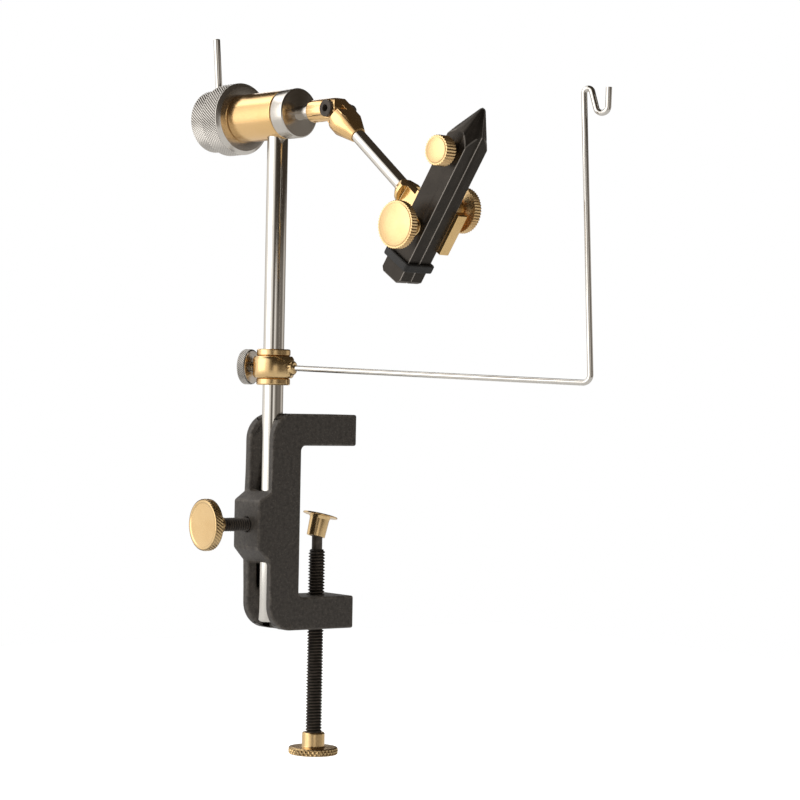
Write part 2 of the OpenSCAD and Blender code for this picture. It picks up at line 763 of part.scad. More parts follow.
// Crank pin, reduced where it is pressed into the knob
module crank_pin() color("#cfcac2") {
    shoulder = crank_knob_d / 2 + crank_pin_neck;
    on_crank_pin(crank_pin_root)
        cylinder(d = crank_pin_d - 2 * crank_pin_step, h = shoulder - crank_pin_root + edge, $fn = fine);
    on_crank_pin(shoulder)
        turned_bar(crank_pin_d, crank_pin_show - crank_pin_neck, edge / 2, edge / 2, fine);
}

// Coupling: round brass bar, halved at the pivot on the side that the knobs face
module spindle_coupling() color("#d2ab5c") at_pivot() difference() {
    intersection() {
        translate([coupling_u - pivot_u, 0, 0]) rotate([0, 90, 0])
            turned_bar(coupling_d, pivot_u - coupling_u + coupling_d / 2, coupling_chamfer, 0);
        union() {
            translate([coupling_u - pivot_u - over, -coupling_d, face_gap / 2])
                cube([pivot_u - coupling_u + over, 2 * coupling_d, coupling_d]);
            translate([0, 0, face_gap / 2]) cylinder(d = coupling_d, h = coupling_d, $fn = smooth);
            translate([coupling_u - pivot_u - over, -coupling_d, -coupling_d])
                cube([coupling_shoulder - coupling_u + over, 2 * coupling_d, 2 * coupling_d]);
        }
    }
    translate([coupling_u - pivot_u - over, 0, 0]) rotate([0, 90, 0])
        cylinder(d = stub_d + 2 * fit_gap, h = stub_socket + over, $fn = fine);
    hole_at_pivot(knuckle_screw_d + 2 * fit_gap);
    translate([0, 0, head_seat]) cylinder(d = head_bore_d, h = coupling_d, $fn = fine);
    translate([coupling_u + stub_socket / 2 - pivot_u, 0, 0]) rotate([90, 0, 0])
        cylinder(d = grub_d + 2 * fit_gap, h = coupling_d, $fn = fine);
}

// Screw hole through the knuckle, along the pivot's axis
module hole_at_pivot(d) {
    translate([0, 0, -knuckle_d]) cylinder(d = d, h = 2 * knuckle_d, $fn = fine);
}

// Small hexagonal socket sunk below z = 0
module hex_socket(across, depth) {
    translate([0, 0, -depth]) cylinder(d = across / cos(30), h = depth + over, $fn = 6);
}

module coupling_grub_screw() color("#1c1a19") at_pivot()
    translate([coupling_u + stub_socket / 2 - pivot_u, -coupling_d / 2 + edge, 0]) rotate([90, 0, 0])
        difference() {
            translate([0, 0, -grub_l]) cylinder(d = grub_d, h = grub_l, $fn = fine);
            hex_socket(grub_d / 2, grub_l / 2);
        }

// Socket head screw sunk in the coupling, on which the arm's knuckle turns
module knuckle_screw() color("#1c1a19") at_pivot() difference() {
    union() {
        translate([0, 0, head_seat + face_gap]) turned_bar(head_d, head_l, 0, edge / 2, fine);
        translate([0, 0, -knuckle_back - nut_thread])
            cylinder(d = knuckle_screw_d, h = knuckle_back + nut_thread + head_seat + edge, $fn = fine);
    }
    translate([0, 0, head_seat + face_gap + head_l]) hex_socket(hex_af, hex_depth);
}

// Domed nut on the back of the arm's knuckle
module knuckle_nut() color("#1c1a19") at_pivot() rotate([180, 0, 0])
    translate([0, 0, knuckle_back + face_gap]) difference() {
        rotate_extrude($fn = fine)
            polygon([[0, 0], [nut_d / 2, 0], [nut_d / 2, nut_h / 2], [nut_d / 2 - edge, nut_h - edge],
                     [nut_d / 4, nut_h], [0, nut_h]]);
        translate([0, 0, -over])
            cylinder(d = knuckle_screw_d + 2 * fit_gap, h = nut_thread + over, $fn = fine);
    }

// Arm

// Arm's knuckle: round brass bar, halved behind the coupling and tapered to the rod
module arm_knuckle() color("#d2ab5c") at_arm() difference() {
    intersection() {
        translate([-knuckle_d / 2, 0, 0]) rotate([0, 90, 0])
            turned_bar(knuckle_d, knuckle_l + knuckle_d / 2, 0, 0);
        union() {
            cylinder(d = knuckle_d, h = 2 * knuckle_d, center = true, $fn = smooth);
            translate([0, -knuckle_d, -knuckle_d]) cube([knuckle_l, 2 * knuckle_d, 2 * knuckle_d]);
        }
        translate([knuckle_l, 0, 0]) rotate([0, -90, 0])
            cylinder(d1 = knuckle_tip_d, d2 = knuckle_tip_d + taper_share * (knuckle_l + knuckle_d / 2),
                     h = knuckle_l + knuckle_d / 2, $fn = smooth);
    }
    translate([-knuckle_d, -knuckle_d, -face_gap / 2]) cube([knuckle_d + lap_l, 2 * knuckle_d, knuckle_d]);
    translate([-knuckle_d, -knuckle_d, -2 * knuckle_d - knuckle_back])
        cube([knuckle_d + lap_l, 2 * knuckle_d, 2 * knuckle_d]);
    hole_at_pivot(knuckle_screw_d + 2 * run_gap);
    translate([knuckle_l - rod_socket, 0, 0]) rotate([0, 90, 0])
        cylinder(d = arm_rod_d + 2 * fit_gap, h = rod_socket + over, $fn = fine);
}

// Steel rod with a thinner spigot at the elbow's end
module arm_rod() color("#cfcac2") at_arm() {
    foot = knuckle_l - rod_socket + face_gap;
    translate([foot, 0, 0]) rotate([0, 90, 0])
        cylinder(d = arm_rod_d, h = elbow_x + elbow_bore - foot - face_gap, $fn = fine);
    translate([elbow_x + elbow_bore - edge, 0, 0]) rotate([0, 90, 0])
        cylinder(d = spigot_d, h = spigot_l + edge, $fn = fine);
}

// Jaw mount: elbow on the arm, milled flat on both sides, and the plate that the jaws tilt on
module jaw_mount() color("#c9a24e") at_arm() difference() {
    union() {
        translate([elbow_x, 0, 0]) rotate([0, 90, 0])
            rotate_extrude($fn = smooth)
                polygon([[0, 0], [elbow_tip_d / 2, 0], [elbow_d / 2, elbow_taper],
                         [elbow_d / 2, elbow_round], [0, elbow_round]]);
        translate([0, 0, -plate_z]) linear_extrude(plate_t) {
            translate([elbow_x + elbow_taper, -tongue_w / 2]) square([elbow_l - elbow_taper, tongue_w]);
            on_jaw_line() {
                translate([-plate_foot, -plate_half]) square([plate_foot + plate_top, 2 * plate_half]);
                circle(plate_lobe_r, $fn = smooth);
            }
        }
    }
    on_jaw_line() translate([0, 0, -plate_z]) hole(tilt_bolt_d + 2 * run_gap, plate_t);
    translate([elbow_x - over, 0, 0]) rotate([0, 90, 0])
        cylinder(d = arm_rod_d + 2 * fit_gap, h = elbow_bore + over, $fn = fine);
    translate([elbow_x, 0, 0]) rotate([0, 90, 0])
        cylinder(d = spigot_d + 2 * fit_gap, h = elbow_bore + spigot_l + face_gap, $fn = fine);
}

// Jaws' frame seen from the arm
module on_jaw_line() {
    translate([arm_reach, jaw_offset, 0]) rotate([0, 0, jaw_angle]) children();
}

// Jaws

// Pair of bars with their shared turned point, before it is split
module jaw_envelope() {
    intersection() {
        translate([-jaw_tail, -jaw_w / 2, split_z - jaw_t])
            cube([jaw_tail + jaw_tip, jaw_w, 2 * jaw_t + face_gap]);
        translate([-jaw_tail, 0, split_z + face_gap / 2]) rotate([0, 90, 0])
            rotate_extrude($fn = smooth)
                polygon([[0, 0], [2 * point_root_r - tail_bevel, 0], [2 * point_root_r, tail_bevel],
                         [2 * point_root_r, jaw_tail], [point_root_r, jaw_tail + jaw_tip - point_l],
                         [point_r, jaw_tail + jaw_tip - point_r / 2],
                         [point_r / 2, jaw_tail + jaw_tip], [0, jaw_tail + jaw_tip]]);
        linear_extrude(4 * jaw_t)
            polygon([[-jaw_tail + tail_bevel, -jaw_w], [-jaw_tail, -jaw_w / 2 + tail_bevel],
                     [-jaw_tail, jaw_w / 2 - tail_bevel], [-jaw_tail + 2 * tail_bevel, jaw_w],
                     [jaw_tip, jaw_w], [jaw_tip, -jaw_w]]);
    }
}

module rear_jaw() color("#3c3834") at_jaws() difference() {
    intersection() {
        jaw_envelope();
        translate([-jaw_tail, -jaw_w, split_z - 2 * jaw_t]) cube([jaw_tail + jaw_tip, 2 * jaw_w, 2 * jaw_t]);
    }
    translate([0, 0, plate_z]) hole(tilt_bolt_d + 2 * fit_gap, jaw_t);
    translate([0, 0, split_z - tilt_head_t - face_gap])
        cylinder(d = tilt_head_d + 2 * fit_gap, h = tilt_head_t + over, $fn = fine);
    translate([gap_at, 0, plate_z]) hole(gap_screw_d + 2 * fit_gap, jaw_t);
}

module front_jaw() color("#3c3834") at_jaws() difference() {
    intersection() {
        jaw_envelope();
        translate([-jaw_tail, -jaw_w, split_z + face_gap]) cube([jaw_tail + jaw_tip, 2 * jaw_w, 2 * jaw_t]);
    }
    translate([gap_at, 0, split_z]) hole(gap_hole_d, jaw_t + 2 * face_gap);
    translate([-clamp_at, 0, split_z]) hole(jaw_screw_d + 2 * run_gap, jaw_t + 2 * face_gap);
    translate([-clamp_at, 0, front_z - insert_l])
        cylinder(d = insert_d + 2 * fit_gap, h = insert_l + over, $fn = fine);
    translate([-ring_at, 0, split_z + face_gap]) rotate([0, relief_turn, 0])
        translate([-jaw_tail, -jaw_w, -jaw_t]) cube([jaw_tail, 2 * jaw_w, jaw_t]);
}

// Rubber ring that holds the tails of the jaws together
module jaw_rubber_ring() color("#1f1c1a") at_jaws()
    translate([-ring_at - rubber_w / 2, 0, split_z + face_gap / 2]) rotate([0, 90, 0])
        linear_extrude(rubber_w) difference() {
            band_outline(2 * jaw_t + face_gap + 2 * rubber_gap, jaw_w + 2 * rubber_gap);
            square([2 * jaw_t + face_gap + 2 * rubber_gap, jaw_w + 2 * rubber_gap], center = true);
        }

// Rectangle grown by the rubber's thickness, with round corners
module band_outline(across, along) {
    square([across + 2 * rubber_t, along], center = true);
    square([across, along + 2 * rubber_t], center = true);
    for (i = [-1, 1], j = [-1, 1])
        translate([i * across / 2, j * along / 2]) circle(rubber_t, $fn = fine);
}

// Countersunk bolt through the rear jaw and the mount's plate
module tilt_bolt() color("#3a3836") at_jaws() {
    translate([0, 0, split_z - tilt_head_t])
        cylinder(d = tilt_head_d, h = tilt_head_t - face_gap, $fn = fine);
    translate([0, 0, -plate_z - tilt_bolt_l])
        cylinder(d = tilt_bolt_d, h = plate_z + tilt_bolt_l + split_z - tilt_head_t + edge, $fn = fine);
}

// Turns a piece to the back of the mount's plate, its z pointing away from the jaws
module behind_plate(depth) {
    at_jaws() rotate([180, 0, 0]) translate([0, 0, plate_z + depth]) children();
}

module tilt_washer() color("#b98f3f") behind_plate(face_gap) difference() {
    cylinder(d = tilt_washer_d, h = tilt_washer_t, $fn = fine);
    hole(tilt_bolt_d + 2 * run_gap, tilt_washer_t);
}

module tilt_knob() color("#c9a24e") behind_plate(2 * face_gap + tilt_washer_t)
    serrated_knob(tilt_knob_d, tilt_rim_t, tilt_hub_d, tilt_hub_h, tilt_teeth, tilt_bolt_d);

// Puts a turned piece in front of the jaws, its z pointing the way the knobs face
module before_jaws(s, depth) {
    at_jaws() translate([s, 0, front_z + depth]) children();
}

module gap_screw() color("#b9b4ac") before_jaws(gap_at, -2 * jaw_t)
    turned_bar(gap_screw_d, 2 * jaw_t + gap_standoff + gap_rim_t / 2, edge, edge, fine);

module gap_knob() color("#d2ab5c") before_jaws(gap_at, face_gap)
    serrated_knob(gap_knob_d, gap_rim_t, gap_hub_d, gap_standoff, small_teeth, gap_hole_d);

// Threaded insert in the front jaw for the clamping screw
module jaw_screw_insert() color("#b9b4ac") before_jaws(-clamp_at, face_gap) difference() {
    union() {
        translate([0, 0, -insert_l]) cylinder(d = insert_d, h = insert_l + edge, $fn = fine);
        turned_bar(insert_flange_d, insert_flange_t, 0, edge / 2, fine);
    }
    translate([0, 0, -insert_l]) hole(jaw_screw_d + 2 * run_gap, insert_l + insert_flange_t);
}

module jaw_screw() color("#b9b4ac") before_jaws(-clamp_at, -jaw_t)
    turned_bar(jaw_screw_d, jaw_t + insert_flange_t + jaw_screw_show + jaw_hub_h + jaw_rim_t - 2 * edge,
               edge, 0, fine);

module jaw_knob() color("#d2ab5c") before_jaws(-clamp_at, insert_flange_t + jaw_screw_show)
    serrated_knob(jaw_knob_d, jaw_rim_t, jaw_hub_d, jaw_hub_h, jaw_teeth, jaw_screw_d);

clamp_frame();
clamp_screw();
clamp_screw_knob();
pad_thrust_disc();
swivel_pad();
stem_screw();
stem_screw_knob();
stem_screw_tip();
stem();
collar_bush();
collar_cap();
collar_ring();
collar_screw();
collar_screw_knob();
collar_screw_tip();
cradle_wire();
barrel();
front_bushing();
rear_bushing();
spindle();
flange_washer();
drag_ring();
drag_spring();
crank_knob();
crank_pin();
spindle_coupling();
coupling_grub_screw();
knuckle_screw();
knuckle_nut();
arm_knuckle();
arm_rod();
jaw_mount();
rear_jaw();
front_jaw();
jaw_rubber_ring();
tilt_bolt();
tilt_washer();
tilt_knob();
gap_screw();
gap_knob();
jaw_screw_insert();
jaw_screw();
jaw_knob();
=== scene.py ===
"""Rotary fly tying vise: brass head and knobs, stainless stem and cradle, black jaws and bench clamp."""
import json
import math
from functools import partial
import bmesh
import bpy
from mathutils import Matrix, Vector
from mathutils.bvhtree import BVHTree


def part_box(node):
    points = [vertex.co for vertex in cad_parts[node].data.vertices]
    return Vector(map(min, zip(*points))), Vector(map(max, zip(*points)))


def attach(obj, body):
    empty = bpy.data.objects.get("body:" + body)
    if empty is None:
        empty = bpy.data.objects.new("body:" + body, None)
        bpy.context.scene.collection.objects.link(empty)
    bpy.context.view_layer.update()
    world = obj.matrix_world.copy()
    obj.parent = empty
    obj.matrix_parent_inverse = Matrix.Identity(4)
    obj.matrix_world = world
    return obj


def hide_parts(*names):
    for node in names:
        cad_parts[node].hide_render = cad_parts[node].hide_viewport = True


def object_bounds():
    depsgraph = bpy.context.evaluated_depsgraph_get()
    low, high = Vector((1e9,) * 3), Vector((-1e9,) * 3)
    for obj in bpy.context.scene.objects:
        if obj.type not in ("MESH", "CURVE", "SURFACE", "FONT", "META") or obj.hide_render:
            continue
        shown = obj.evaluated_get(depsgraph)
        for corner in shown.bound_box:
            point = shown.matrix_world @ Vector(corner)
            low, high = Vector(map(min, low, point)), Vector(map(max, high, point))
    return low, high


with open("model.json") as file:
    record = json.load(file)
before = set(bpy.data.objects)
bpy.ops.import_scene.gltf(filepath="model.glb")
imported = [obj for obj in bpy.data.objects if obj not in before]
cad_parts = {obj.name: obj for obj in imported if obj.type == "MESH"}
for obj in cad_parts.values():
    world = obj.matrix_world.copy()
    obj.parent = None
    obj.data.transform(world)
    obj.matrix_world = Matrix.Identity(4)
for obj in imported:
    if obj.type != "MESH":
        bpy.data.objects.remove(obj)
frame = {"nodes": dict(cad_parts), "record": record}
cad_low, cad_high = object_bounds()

# Studio: a level camera a little over a metre away, on the side that the jaw knobs face.
# The lens is long, and the frame is shifted so that the camera still looks straight at the stem.
# A pale floor lies under the lowest place of the clamp screw's knob, and soft lamps stand around the vise.
MM = 0.001
world_up = Vector((0.0, 0.0, 1.0))
stem_axis = Vector((0.0, -26.5625 * MM, 0.0))
camera_turn = math.radians(55.406)
camera_away = 1.1286
camera_height = 22.07 * MM
camera_roll = math.radians(1.099)


def new_object(name, data):
    """A new object in the scene, at the origin."""
    made = bpy.data.objects.new(name, data)
    bpy.context.collection.objects.link(made)
    return made


def place_of(x, y, z, origin):
    """The place that has these three axes and this origin."""
    return Matrix((*zip(x, y, z, origin), (0.0, 0.0, 0.0, 1.0)))


toward_camera = Vector((math.sin(camera_turn), -math.cos(camera_turn), 0.0))
camera_data = bpy.data.cameras.new("camera")
camera_data.sensor_width = 36.0
camera_data.lens = 110.57
camera_data.shift_x = 0.15894
camera_data.shift_y = -0.00375
camera_data.clip_end = 20.0
camera = new_object("camera", camera_data)
camera_right = Vector((math.cos(camera_turn), math.sin(camera_turn), 0.0))
rolled_right = camera_right * math.cos(camera_roll) + world_up * math.sin(camera_roll)
rolled_up = world_up * math.cos(camera_roll) - camera_right * math.sin(camera_roll)
spot = stem_axis + toward_camera * camera_away + Vector((0.0, 0.0, camera_height))
camera.matrix_world = place_of(rolled_right, rolled_up, toward_camera, spot)
bpy.context.scene.camera = camera
bpy.context.scene.view_settings.view_transform = "Standard"


def add_node(tree, kind, settings=None, **sockets):
    """A node with its properties set, and each socket given a value or a link.
    Sockets go by name with _ for a space, or by number after a _."""
    made = tree.nodes.new(kind)
    for key, value in (settings or {}).items():
        setattr(made, key, value)
    for key, value in sockets.items():
        at = int(key[1:]) if key[0] == "_" and key[1:].isdigit() else key.replace("_", " ")
        if isinstance(value, bpy.types.NodeSocket):
            tree.links.new(value, made.inputs[at])
        else:
            made.inputs[at].default_value = value
    return made


def sums(tree, operation, a, b=0.0, c=0.0):
    """One step of arithmetic in a node tree."""
    return add_node(tree, "ShaderNodeMath", {"operation": operation}, _0=a, _1=b, _2=c).outputs[0]


def mix_color(tree, mask, low, high):
    """A colour that goes from one colour to another as the mask rises."""
    return add_node(tree, "ShaderNodeMix", {"data_type": "RGBA"}, _0=mask, _6=low, _7=high).outputs[2]


def spread(tree, value, low=0.0, high=1.0, to_low=0.0, to_high=1.0, kind="LINEAR"):
    """A value's range from low to high, mapped on another range and held inside it."""
    return add_node(tree, "ShaderNodeMapRange", {"interpolation_type": kind}, Value=value, From_Min=low,
                    From_Max=high, To_Min=to_low, To_Max=to_high).outputs["Result"]


def finish_of(name, base, roughness, metallic=0.0):
    """A new material with its base colour, roughness and metalness set, and its main nodes."""
    made = bpy.data.materials.new(name)
    made.use_nodes = True
    shader = made.node_tree.nodes["Principled BSDF"]
    shader.inputs["Base Color"].default_value = base
    shader.inputs["Roughness"].default_value = roughness
    shader.inputs["Metallic"].default_value = metallic
    return made, made.node_tree, shader


# What the metal mirrors: bright and dark walls all round, and a dark ceiling on the far side.
# Each wall has its turn to the right of the camera in degrees, and how bright it is.
walls = ((-180, 0.34), (-160, 0.42), (-140, 0.70), (-105, 1.0), (-60, 1.0), (-30, 0.98), (-23, 0.40),
         (-14, 0.10), (-3, 0.16), (5, 0.86), (14, 0.80), (24, 0.30), (36, 0.13), (60, 0.20), (92, 0.16),
         (106, 0.58), (122, 0.55), (136, 0.22), (155, 0.26), (180, 0.34))
white = (1.0, 1.0, 1.0, 1.0)
soft_white = (0.62, 0.615, 0.60, 1.0)
ceiling_dark = (0.038, 0.030, 0.022, 1.0)
ceiling_from, ceiling_to = 0.09, 0.135
far_side, far_from, far_to = (0.0, 0.8, 0.6), -0.12, 0.10
plain_light, mirrored_light = 0.85, 1.15
world = bpy.data.worlds.new("studio")
bpy.context.scene.world = world
world.use_nodes = True
sky = world.node_tree
sky.nodes.clear()
rays = add_node(sky, "ShaderNodeLightPath").outputs
look = add_node(sky, "ShaderNodeVectorRotate", {"rotation_type": "Z_AXIS"}, Angle=math.pi / 2.0 - camera_turn,
                Vector=add_node(sky, "ShaderNodeTexCoord").outputs["Generated"]).outputs[0]
look_xyz = add_node(sky, "ShaderNodeSeparateXYZ", Vector=look).outputs
look_turn = sums(sky, "ARCTAN2", look_xyz["Y"], look_xyz["X"])
around = add_node(sky, "ShaderNodeValToRGB", Fac=spread(sky, look_turn, -math.pi, math.pi))
stops = around.color_ramp.elements
while len(stops) < len(walls):
    stops.new(0.5)
for stop, (turn_there, grey) in zip(stops, walls):
    stop.position = (turn_there + 180.0) / 360.0
for stop, (turn_there, grey) in zip(stops, walls):
    stop.color = (grey, grey * (0.89 + 0.095 * grey), grey * (0.78 + 0.185 * grey), 1.0)
above = spread(sky, look_xyz["Z"], ceiling_from, ceiling_to, kind="SMOOTHSTEP")
behind = add_node(sky, "ShaderNodeVectorMath", {"operation": "DOT_PRODUCT"}, _0=look, _1=far_side).outputs["Value"]
beyond = spread(sky, behind, far_from, far_to, kind="SMOOTHSTEP")
mirrored = mix_color(sky, sums(sky, "MULTIPLY", above, beyond), around.outputs["Color"], ceiling_dark)
lighting = add_node(sky, "ShaderNodeBackground", Color=mix_color(sky, rays["Is Glossy Ray"], soft_white, mirrored),
                    Strength=spread(sky, rays["Is Glossy Ray"], to_low=plain_light, to_high=mirrored_light))
backdrop = add_node(sky, "ShaderNodeBackground", Color=white, Strength=1.0)
either = add_node(sky, "ShaderNodeMixShader", Fac=rays["Is Camera Ray"], _1=lighting.outputs[0], _2=backdrop.outputs[0])
add_node(sky, "ShaderNodeOutputWorld", Surface=either.outputs[0])

lamps = (
    # name, turn from the camera in degrees, height, distance, width, tall, watts
    ("key_left", -72.0, 0.35, 1.70, 1.5, 1.5, 8.5),
    ("top_left", -118.0, 1.45, 1.00, 1.3, 1.2, 6.5),
    ("back_strip", -171.0, 0.62, 1.70, 0.9, 0.30, 1.6),
)
aim = Vector((0.05, -0.02, 0.06))
for name, turn, height, away, wide, tall, watts in lamps:
    lamp_data = bpy.data.lights.new(name, "AREA")
    lamp_data.shape = "RECTANGLE"
    lamp_data.size = wide
    lamp_data.size_y = tall
    lamp_data.energy = watts
    lamp = new_object(name, lamp_data)
    way = Matrix.Rotation(math.radians(turn), 3, "Z") @ toward_camera
    lamp.location = aim + way * away + Vector((0.0, 0.0, height))
    lamp.rotation_euler = (lamp.location - aim).to_track_quat("Z", "Y").to_euler()

screw_drop, floor_gap, floor_half = 25.0, 0.5, 0.7
floor_z = cad_low.z - (screw_drop + floor_gap) * MM
floor_mesh = bpy.data.meshes.new("floor")
floor_mesh.from_pydata([(x * floor_half, y * floor_half, floor_z) for x, y in ((-1, -1), (1, -1), (1, 1), (-1, 1))],
                       [], [(0, 1, 2, 3)])
pale, tree, shader = finish_of("pale_floor", (0.86, 0.86, 0.86, 1.0), 0.7)
seen_glow, mirrored_glow = 0.72, 0.10
rays = add_node(tree, "ShaderNodeLightPath").outputs
seen = sums(tree, "MULTIPLY", rays["Is Camera Ray"], seen_glow)
glow = add_node(tree, "ShaderNodeEmission", Color=white,
                Strength=sums(tree, "MULTIPLY_ADD", rays["Is Glossy Ray"], mirrored_glow, seen))
lit = add_node(tree, "ShaderNodeAddShader", _0=shader.outputs[0], _1=glow.outputs[0])
tree.links.new(lit.outputs[0], tree.nodes["Material Output"].inputs["Surface"])
floor_mesh.materials.append(pale)
floor = new_object("floor", floor_mesh)

# Bench clamp: one sand-cast iron C, milled for the stem and drilled for both screws.
# Its edges are blunt, and it is coated in a satin black powder that leaves a fine orange peel.
cast_edge = 1.0
cast_black = (0.038, 0.031, 0.025, 1.0)
cast_dusty = (0.17, 0.145, 0.12, 1.0)
AMOUNT, PLACE = "NodeSocketFloat", "NodeSocketVector"


def group_with(name, inputs, outputs):
    """An empty shader node group with named sockets, the outputs of its start and its end node."""
    made = bpy.data.node_groups.new(name, "ShaderNodeTree")
    for label, kind, value in inputs:
        socket = made.interface.new_socket(label, in_out="INPUT", socket_type=kind)
        if value is not None:
            socket.default_value = value
    for label in outputs:
        made.interface.new_socket(label, in_out="OUTPUT", socket_type=AMOUNT)
    return made, made.nodes.new("NodeGroupInput").outputs, made.nodes.new("NodeGroupOutput")


def noise(tree, space, scale, detail, **more):
    """A cloud of noise over a piece, from 0 to 1."""
    return add_node(tree, "ShaderNodeTexNoise", Vector=space, Scale=scale, Detail=detail, **more).outputs[0]


def noted(tree, name):
    """What a piece's mesh notes at each place under a name."""
    return add_node(tree, "ShaderNodeAttribute", {"attribute_name": name}).outputs["Fac"]


# Orange peel and pin-head speckle of a powder coat
speck_r = 0.22
peel, peel_in, peel_out = group_with(
    "powder_coat", (("Vector", PLACE, None), ("Grain", AMOUNT, 1400.0), ("Speckle", AMOUNT, 0.5)), ("Height", "Fleck"))
peel_wave = noise(peel, peel_in["Vector"], scale=peel_in["Grain"], detail=4.0, Roughness=0.6)
peel_dots = add_node(peel, "ShaderNodeTexVoronoi", Vector=peel_in["Vector"], Scale=peel_in["Grain"])
dots = sums(peel, "MULTIPLY", sums(peel, "LESS_THAN", peel_dots.outputs["Distance"], speck_r), peel_in["Speckle"])
peel.links.new(sums(peel, "ADD", peel_wave, dots), peel_out.inputs["Height"])
peel.links.new(dots, peel_out.inputs["Fleck"])

# Bare metal showing along worn edges, broken up by noise
worn_from, worn_to = 0.72, 0.98
worn, worn_in, worn_out = group_with(
    "worn_edges", (("Vector", PLACE, None), ("Amount", AMOUNT, 0.5), ("Patch", AMOUNT, 260.0)), ("Mask",))
edge_noise = noise(worn, worn_in["Vector"], scale=worn_in["Patch"], detail=5.0, Roughness=0.65)
edge_cut = spread(worn, edge_noise, *(sums(worn, "SUBTRACT", end, worn_in["Amount"]) for end in (worn_from, worn_to)))
worn.links.new(sums(worn, "MULTIPLY", noted(worn, "edge"), edge_cut), worn_out.inputs["Mask"])


def group_in(tree, group, **sockets):
    """The outputs of a shader group placed in a material's tree with its own values."""
    return add_node(tree, "ShaderNodeGroup", {"node_tree": group}, **sockets).outputs


def object_space(tree):
    """The piece's own coordinates, in metres."""
    return add_node(tree, "ShaderNodeTexCoord").outputs["Object"]


def bump_on(tree, shader, height, distance, strength=1.0):
    """Fine relief on a surface, its depth in metres."""
    made = add_node(tree, "ShaderNodeBump", Height=height, Distance=distance, Strength=strength)
    tree.links.new(made.outputs["Normal"], shader.inputs["Normal"])


def vary_color(tree, shader, mask, low, high):
    """Base colour that goes from one colour to another as the mask rises."""
    tree.links.new(mix_color(tree, mask, low, high), shader.inputs["Base Color"])


powder, tree, shader = finish_of("black_powder_coat", cast_black, 0.5)
shader.inputs["Specular IOR Level"].default_value = 0.5
space = object_space(tree)
coat = group_in(tree, peel, Vector=space, Grain=950.0, Speckle=0.45)
rub = group_in(tree, worn, Vector=space, Amount=0.3, Patch=300.0)
mottle = noise(tree, space, scale=620.0, detail=4.0, Roughness=0.7)
uneven = spread(tree, mottle, 0.36, 0.68, to_high=0.30)
flecks = sums(tree, "MULTIPLY", coat["Fleck"], 0.7)
marks = sums(tree, "ADD", uneven, sums(tree, "ADD", flecks, sums(tree, "MULTIPLY", rub["Mask"], 0.5)))
vary_color(tree, shader, marks, cast_black, cast_dusty)
bump_on(tree, shader, sums(tree, "ADD", coat["Height"], mottle), 0.22 * MM, 0.7)


def whole_faces(mesh):
    """Joins a mesh's loose triangles into whole faces."""
    same_point, flat_within = 1e-7, math.radians(0.6)
    work = bmesh.new()
    work.from_mesh(mesh)
    bmesh.ops.remove_doubles(work, verts=work.verts, dist=same_point)
    bmesh.ops.dissolve_limit(work, angle_limit=flat_within, verts=work.verts, edges=work.edges)
    work.to_mesh(mesh)
    work.free()


def cad_copy(node, name):
    """A separate copy of a CAD node's mesh, in whole faces."""
    made = new_object(name, frame["nodes"][node].data.copy())
    made.data.materials.clear()
    whole_faces(made.data)
    return made


def evaluated_mesh(piece):
    """Keeps a piece's modified mesh as its plain mesh, and takes its modifiers off."""
    whole = bpy.data.meshes.new_from_object(piece.evaluated_get(bpy.context.evaluated_depsgraph_get()))
    piece.modifiers.clear()
    old = piece.data
    piece.data = whole
    bpy.data.meshes.remove(old)


def room_across(edge, face, rim):
    """How far a face reaches across from one of its edges before it meets a rim edge."""
    start, end = edge.verts[0].co, edge.verts[1].co
    middle, run = (start + end) / 2, (end - start).normalized()
    inward = face.normal.cross(run)
    if inward.dot(face.calc_center_median() - middle) < 0.0:
        inward.negate()
    room = 1.0
    for other in rim:
        if other is edge:
            continue
        a, b = other.verts[0].co - middle, other.verts[1].co - middle
        at_a, at_b = a.dot(run), b.dot(run)
        if at_a * at_b <= 0.0 and abs(at_a - at_b) > 1e-9:
            share = at_a / (at_a - at_b)
            reach = a.dot(inward) * (1.0 - share) + b.dot(inward) * share
            if 1e-5 < reach < room:
                room = reach
    return room


def weigh_edges(mesh, width, limit, plain, blunt):
    """Weighs each sharp edge by how much rounding the faces beside it have room for.
    Edges that pass the blunt test get the whole width, and the others the plain one."""
    room_taken, room_step = 0.42, 1.25
    work = bmesh.new()
    work.from_mesh(mesh)
    weight = work.edges.layers.float.new("bevel_weight_edge")
    sharp = {e for e in work.edges if len(e.link_faces) == 2 and e.calc_face_angle(0.0) > math.radians(limit)}
    seen, room = set(), {e: 1.0 for e in sharp}
    for first in work.faces:
        if first in seen:
            continue
        patch, open_faces, rim = [], [first], set()
        seen.add(first)
        while open_faces:
            face = open_faces.pop()
            patch.append(face)
            for edge in face.edges:
                if edge in sharp:
                    rim.add(edge)
                    continue
                for near in edge.link_faces:
                    if near not in seen:
                        seen.add(near)
                        open_faces.append(near)
        for face in patch:
            for edge in face.edges:
                if edge in sharp:
                    room[edge] = min(room[edge], room_across(edge, face, rim))
    for _ in range(2):
        near = {e: min([room[e]] + [room[n] * room_step for v in e.verts for n in v.link_edges if n in room])
                for e in sharp}
        room.update(near)
    for edge in sharp:
        wanted = width if blunt is None or blunt(edge) else plain
        edge[weight] = min(wanted, room_taken * room[edge]) / width
    work.to_mesh(mesh)
    work.free()


